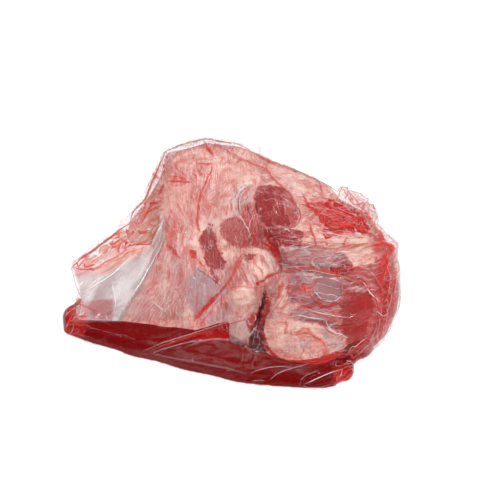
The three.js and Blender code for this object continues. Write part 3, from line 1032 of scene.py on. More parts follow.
PATCHES: dict[Tissue, tuple[Patch | Streak, ...]] = {
    Tissue.MUSCLE: (
        Patch("210,225 214,229 216,239 218,247 223,256 225,263 221,270 211,268 205,261 204,251 199.5,241 "
              "201,235 206,229", 1, 4),
        Streak("211,266 214,276 219,286", 3, 0.75, 2.5),
        Patch("266,228.5 278,228.5 292,228.5 302,231 303.5,236 299,240 286,239.5 275,239", 0.72, 1.5,
              1.2),
        Patch("257,187 266,185.5 280,187 285,194 283,204 285,214 290,222 284,226 268.6,226 262,222 "
              "257,208 255.5,196", 0.9, 4, 3),
        Patch("242,254 248,251 254,254 253,261 245,261", 0.75, 3, 4),
        Patch("340,274 356,275 371,284 368,292 352,284", 0.5, 2),
        Patch("273,238 300,239 300,246 284,248 276,246", 0.75, 1.5, 2.5),
        Patch("318,319 336,320 348,328 340,330 324,325", 0.6, 2),
        Patch("247,318 256,316 257,330 252,336 247,330", 0.7),
        Patch("263.6,227 270,232 275,241 279,249 282,260 280.5,269 277,266 271.5,250 265.7,240", 1, 1,
              0.8),
        Patch("330,268 350,264 354,270 346,275 334,272", 0.8),
        Patch("333,258 345,258 347,266 334,267", 0.28, 2),
        Patch("384,262 392,260 399,268 401,290 398,320 388,336 376,350 372,330 382,308 384,284", 0.75, 3,
              3),
        Patch("344,294 354,290 370,292 372,308 368,330 370,348 352,354 345,338 340,322 341,306", 0.95, 5,
              3),
        Patch("260,304 263,304 263,318 265,334 269,352 250,352 249,338 255,322", 0.8),
    ),
    Tissue.FLESH: (
        Patch("220,231 223,221 235,217 242,222 248,230 253,240 248,247 237,246 226,241", 0.95, 4),
        Patch("257,187 266,185 281,187 290,193 296.5,204 299.5,213 298,221.5 293,227 280,226 268.6,226 "
              "262,222 257,208 255.5,196", 1.1, 1, 1),
        Patch("242,208 250,202 255,205 259,218 264,230 263,243 256,247 249,234 243,222", 0.95, 3),
        Patch("253,240 262,238 268,246 271,252 264,250 254,246", 0.8, 1.5, 1.5),
        Patch("332,271 350,268 368,265 380,268 386,280 384,296 376,296 366,287 350,279", 0.95, 2),
        Patch("338,300 350,284 376,292 384,330 370,352 346,356 338,334 326,316", 0.7, 7, 4),
        Patch("322,212 336,210 350,212 354,220 344,226 330,225 323,219", 0.8, 2.5, 3),
    ),
    Tissue.SILVERSKIN: (
        Patch("282,205 286,204 288,208 285,212 281,210", 0.6, 1.5, 1),
        Patch("188,270 200,268 214,281 224,291 218,300 206,312 196,322 190,306 186,288", 0.8, 4, 3),
        Patch("222,300 234,302 234,314 218,326 202,324", 0.55, 4, 3),
        Patch("231,190 240,185 252,188 254,200 248,212 241,220 234,212", 0.5, 3, 2.5),
        Patch("230,320 250,314 256,322 247,340 230,340", 0.5, 3, 3),
        Patch("200,309 212,308 213,320 201,321", 0.45, 2.5, 3),
        Patch("229,323 245,321 249,329 245,338 231,337", 0.5, 2.5, 2.5),
        Patch("222,256 230,254 236,262 230,268 223,264", 0.35, 2.5),
        Patch("241,266 247,280 240,285 231,284", 0.45, 2, 1.5),
        Patch("284,273 316,271 320,278 312,290 300,286 286,284", 0.55, 3, 3),
        Patch("302,249 320,249 336,254 332,266 314,268 300,262", 0.5, 3, 2.5),
        Patch("322,278 332,277 339,281 341.5,290 341,296 337,300.5 325,301 320,298 314.5,292 315,286",
              0.34, 1.2, 0.8),
        Patch("290,308 314,310 334,316 340,328 326,322 300,318", 0.62, 3, 3),
        Patch("318,325 326,325 336,333 344,340 343,349 334,350 324,340", 0.62, 2, 2.5),
        Patch("286,332 298,330 304,340 298,350 286,346", 0.42, 3, 3),
        Patch("298,336 311,335 314,346 302,350", 0.5, 3, 3),
    ),
    Tissue.MEMBRANE: (
        Patch("292,318 318,318 336,322 346,330 340,331 322,326 300,322", 0.8, 2),
        Patch("280,250 300,248 322,250 338,254 350,260 352,266 320,269 282,269", 0.66, 2.5, 4),
        Patch("286,273 320,271 336,274 350,282 356,296 346,304 326,308 300,306 290,292", 0.8, 5, 5),
        Patch("286,306 310,307 334,310 346,326 346,338 336,332 318,322 292,318", 0.5, 4, 4),
        Patch("288,290 308,290 312,300 304,305 290,302", 0.8, 2.5, 2.5),
    ),
    Tissue.CREAM: (
        Streak("249,185 240,190 235,199 235,208 240,217", 2.6, 0.9, 1.5),
        Streak("254,184 246,183 237,187 231,195", 2, 0.8, 1.5),
        Streak("238,213 243,221 248,229 252,238", 1.3, 0.9, 1.5),
        Streak("254,214 251,222 249,229", 1, 0.9, 1.2),
        Streak("252,190 246,197 243,205 244,213", 1.5, 0.8, 1.5),
        Patch("246,249 257,247.5 266,251 274,260 276,269 270,277 259,279.5 252,273 246,264 242,256", 1, 1,
              1.2),
        Patch("228,324 244,318 256,318 258,328 250,338 238,341 229,334", 0.55, 2),
        Patch("360,204 370,211 379,226 390,240 397,250 390,254 376,242 366,226", 0.9),
        Patch("340,250 362,247 386,252 382,261 366,265 352,261", 0.9, 2),
        Patch("226,296 240,286 256,290 262,300 254,312 240,316 228,308", 0.6, 4, 4),
        Patch("293,224 301,223 306,229 302,234 295,231", 0.9),
        Patch("262,163 290,168 322,182 340,198 330,204 310,198 296,190 278,176", 0.55, 4, 3),
        Patch("304,222 316,226 340,228 362,232 372,240 360,248 336,250 314,248 305,236", 0.9, 3, 2.5),
        Patch("279,250 300,248 302,264 280,268", 0.6, 3, 4),
        Patch("366,286 374,289 381,298 379,307 371,301", 1, 1.5, 1.5),
        Patch("265,320 280,319 298,319 312,322 324,322 334,331 344,337 345.5,344 342,348 330,352.5 "
              "320,356 310,359.5 294,361 280,357 270,343 264,330", 1, 1, 1.2),
        Streak("290,282 285,294 277,306", 2.6, 0.85, 2), Streak("299,303 290,310 280,316", 2.4, 0.8, 2),
        Patch("197,226 204,222 207,229 200,240 199,250 206,262 201,266 193,252 192,238", 0.8, 3.5, 3),
        Patch("211,222 219,222 223,236 227,250 235,256 230,264 222,254 216,238", 0.8, 3.5, 3),
        Patch("130,230 134,220 146,206 164,192 166,222 154,246 130,248", 0.9, 2),
        Patch("176,156 204,148 236,154 258,166 252,182 226,180 200,172 180,168", 0.45, 5, 4),
        Patch("170,186 190,188 188,204 176,206 168,200", 0.5, 4, 3),
    ),
    Tissue.WHITE: (
        Patch("250,250 262,251 272,260 274,270 264,277 256,274 250,266", 0.6, 2.5, 2.5),
        Patch("229,323 250,319 252,330 244,340 230,340", 0.3, 2, 2.5),
        Patch("374,240 388,240 392,256 380,262 372,254", 0.5, 2.5, 2.5),
        Patch("276,322 300,322 296,334 280,338", 0.4, 3, 3),
        Patch("296,345 312,342 320,350 304,356", 0.35, 3, 3),
    ),
    Tissue.ROSE: (
        Patch("166,186 200,186 202,222 170,222", 0.35, 6, 4),
        Streak("252,258 258,262 266,264", 1.3, 0.45, 1.5),
        Streak("251,261 256,268 263,273", 1.4, 0.45, 1.5),
        Streak("248,262 251,269 256,276", 1.4, 0.45, 1.5),
        Patch("140,318 200,318 200,334 160,334", 0.45, 3, 3),
        Patch("299,222 309,221 313,236 302,238", 0.7, 2, 2.5),
        Patch("182,246 193,246 194,257 183,257", 0.6, 3, 3),
        Patch("192,255 202,255 203,265 193,265", 0.6, 3, 3),
        Patch("165,226 176,226 176,238 166,240", 0.7, 3, 3),
        Patch("246,256 256,255 257,265 247,266", 0.7, 2.5, 2.5),
        Patch("128,228 134,214 148,200 166,184 166,224 154,244 132,244", 0.4, 5, 4),
        Patch("272,344 290,350 306,356 300,362 284,360 272,352", 0.6, 3, 3),
        Patch("268,322 282,318 300,320 288,328 274,332", 0.45, 3, 3),
        Streak("312,230 330,234 350,236 368,240", 3.2, 0.8, 3),
        Streak("306,242 324,244 346,244", 2.4, 0.6, 3), Streak("286,176 304,184 322,192", 3, 0.55, 3),
        Streak("284,278 280,292 273,302", 2.2, 0.75, 2), Streak("294,288 288,300 280,311", 2.2, 0.75, 2),
        Streak("276,312 288,316 300,318", 2.2, 0.6, 2),
        Streak("293,335 300,331 307,330 312,334 317,338", 2, 0.95, 3),
        Streak("304,337 316,337 322,343 321,352", 2, 0.9, 3),
        Streak("287,319 288,327 288,334", 3, 0.85, 3),
        Patch("321,345 328,345 332,350 328,356 320,354", 0.75, 2, 2.5),
        Patch("303,346 311,345 316,351 309,355 302,353", 0.6, 2.5, 3),
        Patch("300,330 320,334 330,343 324,354 306,352 296,342", 0.6, 5, 4),
        Patch("267,322 298,320 324,324 344,340 340,354 294,361 272,345", 0.36, 4, 5),
        Patch("272,320 284,320 284,336 276,346 268,336", 0.45, 4, 3),
        Streak("176,196 184,208 193,224", 2.6, 0.6, 2.5),
        Streak("170,206 174,218 177,232", 2.4, 0.6, 2.5),
        Streak("184,230 182,240 183,250", 2.2, 0.6, 2.5),
        Streak("180,270 181,282 184,296", 2.2, 0.6, 2.5), Streak("162,262 156,280 148,300", 3, 0.55, 3),
        Streak("200,290 198,304 196,320", 2.6, 0.6, 2.5),
        Streak("170,170 178,162 192,157 206,160", 2.4, 0.6, 2.5),
        Streak("214,150 224,158 240,166 256,172", 2.6, 0.55, 2.5),
        Streak("216,176 228,170 240,174", 2.2, 0.5, 2.5),
        Streak("206,222 212,208 222,198 232,192", 2.4, 0.5, 2.5),
        Patch("164,170 172,160 178,176 172,196 164,196", 0.45, 4, 3),
        Patch("160,196 172,196 172,214 164,222", 0.4, 4, 3),
        Patch("236,256 246,262 246,276 236,284 228,276", 0.5, 4, 3),
    ),
    Tissue.BLOOD: (
        Streak("250,228 254,236 258,243", 1.3, 0.5, 2), Streak("241,206 244,216 249,225", 1, 0.5, 1.2),
        Streak("252,205 255,216 259,226", 1, 0.5, 1.2), Streak("255,190 254,201 256,214", 1, 0.6, 0.8),
        Streak("275,189 277,199 277.5,210 276,218", 0.9, 0.6),
        Streak("282,195 290,204 293,214 291,223", 0.9, 0.6, 0.8),
        Streak("251,262 256,268 262,276", 2, 0.42, 3),
        Streak("320,226 328,231 340,233 352,232", 1.6, 0.6, 2),
        Patch("322,230 338,227 342,236 326,239", 0.95, 2, 2.5),
        Patch("262,351 271,355.5 280,357.5 291,360 311,358 321,355 331,352 345,347 354,342 356,352 "
              "330,366 300,374 262,368", 1, 1, 1),
        Patch("290,300 302,300 302,309 290,310", 0.45, 3, 3),
        Patch("299,282 311,282 311,292 299,292", 0.5, 3, 3),
        Patch("348,300 368,297 373,318 366,340 352,350 345,330 344,312", 0.42, 7, 4),
        Streak("286,363 310,362 322,358.5 334,354.5 346,349", 2, 0.95),
        Patch("310,205 322,201 338,202 348,208 356,208 364,216 369,228 373,239 362,234 350,231 336,232 "
              "328,229 322,222 315,214", 0.8, 3, 4),
        Patch("322,201 332,200 339,204 338,209 328,211 314,211 312,205", 1, 1, 1.5),
        Streak("302,196 306,199 307.5,205 312,208", 1.6, 0.9),
        Streak("216,296 206,307 195,320", 2.7, 0.9, 0.8),
        Patch("250,313 259,308 260,318 255,326 249,320", 0.5, 2.5, 5),
        Patch("189,252 192,249.5 196,250 197,254 196,258 192,257.5", 0.85, 1.5, 2.5),
        Streak("195,255 199,262 205,267", 1.2, 0.85), Streak("167,245 173,251 181,259", 2.1, 0.95),
        Streak("226,285 215,297 204,309 194,321", 1.9, 1, 0.6),
        Streak("225,287 232,276 239,264 246,252", 1.1, 0.5, 1.6),
        Streak("167,182 178,181 192,182", 1.5, 0.9), Streak("167,176 179,177 190,181", 1, 0.7),
        Streak("192,173 196,177 197,183", 0.9, 0.8), Streak("196,163 205,164 213,163.5", 1.3, 0.8),
        Streak("212,167 207,180 200,197 198,214 198,231", 1.5, 0.85),
        Streak("196,219 198,228 200,232", 1.8, 0.8), Streak("205,144 209,149 213,155", 1.6, 0.85),
        Streak("163,184 161,189 158,194", 2, 0.9), Streak("173,152 171,160 168,170", 2.2, 0.35, 1.5),
        Streak("176,202 180,209 185,217", 1.3, 0.55, 1.5),
        Streak("174,214 175,224 178,231", 1.2, 0.5, 1.5),
        Streak("190,210 192,218 190,226", 1.2, 0.45, 1.5),
        Streak("176,288 182,300 184,312", 1.4, 0.4, 1.5),
        Streak("198,292 196,306 194,318", 1.6, 0.5, 1.5),
        Streak("257,284 263,280.5 270,277 277,272.5", 1.5, 0.75, 1.6),
        Streak("256,284.5 259,282.5", 3.2, 0.9, 1.6),
        Streak("261.4,243 266,245 270,249 275.7,260 279.3,272", 1.7, 0.9, 0.6),
        Streak("266.5,290 265.5,304 263.5,318 265.5,334 270,348", 1.9, 0.85, 1.5),
        Streak("277,280 279,290 276,300", 1, 0.6, 1.5), Streak("288,276 290,286 285,298", 0.9, 0.6, 1.5),
        Streak("292,327 293,335 300,333.5 308,333 316,338", 0.9, 0.7, 1.5),
        Streak("304,339 305,347 300,356", 0.9, 0.6, 1.5),
        Streak("267,340 271,350 279,358 290,361.5", 2.6, 0.7, 1.5),
        Streak("307,330 313,335 320,338", 0.8, 0.65), Streak("322,339 325,347 324,354", 0.8, 0.6),
        Streak("266,340 272,352 284,361", 2.3, 0.7, 1.5),
    ),
    # Painted shade: dark lines and patches in the cleft, along folds of the slab and the swirl, beside and under
    # the eye, in the grooves of the roll, over its lower right and under the fat end.
    Tissue.DARK: (
        Streak("256,222 260,232 262,240", 1, 0.4, 2),
        Streak("243,191 238.5,200 239,209 242,216", 1, 0.5, 1.2),
        Streak("248,194 246,203 249,212 253,222", 0.9, 0.45, 1.2),
        Streak("234,194 231,202 233,210", 0.8, 0.35, 1.2),
        Streak("256.5,189 255.5,200 257.5,212 261.5,223", 1.3, 0.5, 0.6),
        Streak("266,227.5 278,227.5 292,228", 0.9, 0.4, 0.6),
        Patch("256,322 264,322 266,352 248,352", 0.5, 2),
        Patch("284,361 311,359 321,356 331,353 343,349 340,356 310,364 286,366", 0.5, 1.5, 1),
        Patch("344,298 366,298 370,318 362,342 350,344 344,322", 0.48, 8, 4),
        Patch("264.5,229 268,230.5 273,240 277,249 279.5,259 279,266 276,258 272,249 267,240", 0.62, 1.2,
              0.8),
        Patch("265,289 266.5,296 264,306 261,316 258,324 256,322 259.5,310 262.5,298", 0.9, 1, 1.6),
        Streak("193,266 201,271 212,279 221,286", 0.8, 0.6),
        Streak("278,262 279.5,268 280,274", 1.2, 0.7, 0.6),
        Streak("280,272 307,270 340,273.5 364,286", 1.9, 0.45),
        Streak("277,241 300,245 336,249 362,245", 1.5, 0.35),
        Streak("300,308 320,307 340,303", 1.9, 0.45),
    ),
}


@dataclass
class Brisket:
    """The folded brisket: a thick slab on the left, its end rolled under on the right, fat outside."""

    inset: float = 1.3 * MM
    edge: float = 1.58 * MM
    extent: Path = (
        "116,322 131,297 140,280 149,263 154,248 148,244.5 137,245 130,243 126,236 131,220 142,206 "
        "149,196 156,185 160.5,176 163,166 165.5,157 168.5,151.5 187,148.5 200,144.5 207,142.5 240,146.5 "
        "259,153.5 275,161.5 304,171 330,186 340,199 352,205 368,214 380,231 388,243 397,254 400,280 "
        "399,300 396.5,312 391.5,326 384,338 372,349 367,420 116,420"
    )
    cleft: Path = "272,150 262,190 262,229 270,240 276,260 279,274 266,290 264,310 256,330 250,352 250,400"
    lumps: tuple[Lump, ...] = (
        Lump((62, 62, 50), (46, 66, 62), (0, 0, 0), 2.5),
        Lump((146, -26, 40), (47, 92, 54), (0, 0, 0), 3.6),
        Lump((5, 92, 28), (150, 64, 46), (0, 0, -6), 3.0),
        Lump((-55, 50, 20), (85, 90, 34), (0, 0, 0), 3.0),
        Lump((-34, 31.8, 33.1), (100, 132, 49), (28, 0, -6), 4.0, 0.2),
        Lump((58.6, 50.5, 39.6), (93, 67, 57), (0, 14, -13), 2.8),
        Lump((103.7, -13.9, 32.4), (83, 107, 57), (0, 8, 0), 2.4),
        Lump((76.8, -86.8, 14.4), (48, 41, 37), (12, 0, -8), 2.5),
        Lump((25.4, -30.2, 16.8), (53, 69, 31)),
        Lump((47.7, 26.4, 79.2), (33, 37, 27), (18, 0, 10)),
        Lump((20.1, -36.8, 37.6), (34, 40, 33), (28, 0, 0), 2.3),
        Lump((-108, -46, 18), (24, 26, 24)),
    )
    patches: dict[Tissue, tuple[Patch | Streak, ...]] = field(default_factory=lambda: PATCHES)

    def build(self, bag: BagForm, view: PhotoView, finish: MeatFinish) -> None:
        """Make the brisket and dress it.

        Args:
            bag: The form of the filled bag, which the meat fills.
            view: The camera of the photograph.
            finish: The brisket's finish.
        """
        lumps = bmesh.new()
        for lump in self.lumps:
            lump.add_to(lumps)
        swelling = Sculpt("lumps", lumps)
        swelling.remesh(2.4 * MM)
        meat = bag.cast("brisket", self.inset, 2.2 * MM)
        meat.keep_common(swelling)
        meat.keep_common(Sculpt("extent", view.column(self.extent)))
        meat.remesh(self.edge)
        meat.smooth(4)
        self.dress(meat, view)
        meat.hand_in(finish.material())

    def dress(self, meat: Sculpt, view: PhotoView) -> None:
        """Lay the tissues and the grain on the meat, and raise its relief.

        Args:
            meat: The meat.
            view: The camera of the photograph.
        """
        canvas = Canvas(meat, view)
        hidden = 1 - canvas.seen
        masks = {tissue: np.zeros(len(hidden)) for tissue in Tissue}
        for tissue, marks in self.patches.items():
            fine = [mark for mark in marks if isinstance(mark, Streak) and mark.width < FINE_LINE]
            if tissue in (Tissue.BLOOD, Tissue.DARK):
                lines = canvas.draw([(line, line.strength) for line in fine], 0.85)
                meat.paint(f"{tissue.value}_lines", lines)
            else:
                fine = []
            for mark in marks:
                if mark not in fine:
                    masks[tissue] = np.maximum(masks[tissue], mark.mask(canvas))
        broad = noise_at(canvas.places / (38 * MM), 3.1)
        small = noise_at(canvas.places / (13 * MM), 8.4)
        for tissue, share in ((Tissue.MUSCLE, ease(0.25, 0.6, broad + 0.3 * small)),
                              (Tissue.FLESH, ease(0.0, 0.7, broad + 0.4 * small)),
                              (Tissue.MEMBRANE, ease(0.1, 0.8, small - broad)),
                              (Tissue.CREAM, 0.7 * ease(0.15, 0.5, -broad))):
            masks[tissue] = np.maximum(masks[tissue], hidden * share)
        for tissue, mask in masks.items():
            meat.paint(tissue.value, np.clip(mask, 0, 1))
        grain = self.grain(canvas)
        meat.paint("grain", grain)
        fibres = noise_at(grain * np.array((0.22, 0.05, 1)), 2.2)
        relief = 0.4 * fibres + 0.5 * small - 0.5 * masks[Tissue.MUSCLE] + 0.4 * masks[Tissue.CREAM]
        relief += sum(form.relief(canvas) for form in BRISKET_RELIEF)
        meat.push(relief * MM - 0.4 * MM)

    def grain(self, canvas: Canvas) -> Array:
        """Work out which way the fibres run.

        Args:
            canvas: The meat as the camera sees it.

        Returns:
            For each point how far across and along the fibres it lies, in pixels.
        """
        x, y = (canvas.pixels + 7 * canvas.wobble(27.0) + 2 * canvas.wobble(9.0)).T
        fan = ((x - 205) * 1.3 / np.sqrt(1 + ((y - 240) / 50) ** 2), y)
        roll = (y + 0.0026 * (x - 312) ** 2, x)
        eye = (x - 0.25 * y - 0.01 * (y - 207) ** 2, y)
        across, deep, high = canvas.places.T / VIEW_PIXEL
        back = (across, high + 0.5 * deep)
        grain = np.stack(fan, 1)
        cleft = rounded(self.cleft)
        x, y = canvas.pixels.T
        on_roll = x > np.interp(y, cleft[:, 1], cleft[:, 0])
        grain[on_roll] = np.stack(roll, 1)[on_roll]
        on_eye = np.hypot((x - 278) / 1.1, y - 207) < 20
        grain[on_eye] = np.stack(eye, 1)[on_eye]
        unseen = canvas.seen < 0.3
        grain[unseen] = np.stack(back, 1)[unseen]
        return np.pad(grain, ((0, 0), (0, 1)))


@dataclass
class Juice:
    """The curing juice that has pooled along the front of the bag."""

    level: float = 34 * MM
    shore: tuple[float, float, float] = (-150, -37, 22.5)
    inset: float = 0.2 * MM
    edge: float = 2.0 * MM
    extent: Path = (
        "50,290 66,302 74,299.5 82,298.5 80,303 76,307 77,319.5 100,320 125,321 150,324 165,327 175,327 "
        "186,328.5 196,330 206,327 218,323 229,321.5 229.5,341 238,345 247,345 252,351 264,352 271,354.5 "
        "279,356.5 290,359 310,357 320,354.5 330,351.5 343,347 351,342 360,337 376,324 376,410 50,410"
    )
    thin: tuple[Path, ...] = (
        "66,308 80,304 86,318 84,334 68,336",
        "336,368 356,362 358,376 342,386 334,380",
        "190,339 214,330 238,322 231,340 204,342",
    )

    def build(self, bag: BagForm, view: PhotoView, finish: JuiceFinish) -> None:
        """Make the pool and dress it.

        Args:
            bag: The form of the filled bag.
            view: The camera of the photograph.
            finish: The juice's finish.
        """
        pool = bag.cast("curing_juice", self.inset, self.edge)
        form = bmesh.new()
        form.from_mesh(pool.mesh)
        for place, normal in ((Vector((0, 0, self.level)), Vector((0, 0, 1))),
                              (Vector(self.shore) * MM, Vector((0.23, 1, 0.8)).normalized())):
            whole = form.verts[:] + form.edges[:] + form.faces[:]
            cut = bmesh.ops.bisect_plane(form, geom=whole, plane_co=place, plane_no=normal, clear_outer=True,
                                         dist=0.001 * MM)
            rim = [piece for piece in cut["geom_cut"] if isinstance(piece, bmesh.types.BMEdge)]
            bmesh.ops.contextual_create(form, geom=rim)
        form.to_mesh(pool.mesh)
        form.free()
        pool.remesh(self.edge)
        pool.keep_common(Sculpt("pool_extent", view.column(self.extent)))
        pool.remesh(self.edge)
        pool.smooth(3)
        canvas = Canvas(pool, view)
        thin = np.zeros(len(canvas.seen))
        for outline in self.thin:
            depth = within(canvas.ragged(3.0), spots(outline))
            thin = np.maximum(thin, ease(-4, 4, depth) * canvas.seen)
        pool.paint("thin", thin)
        pool.hand_in(finish.material())
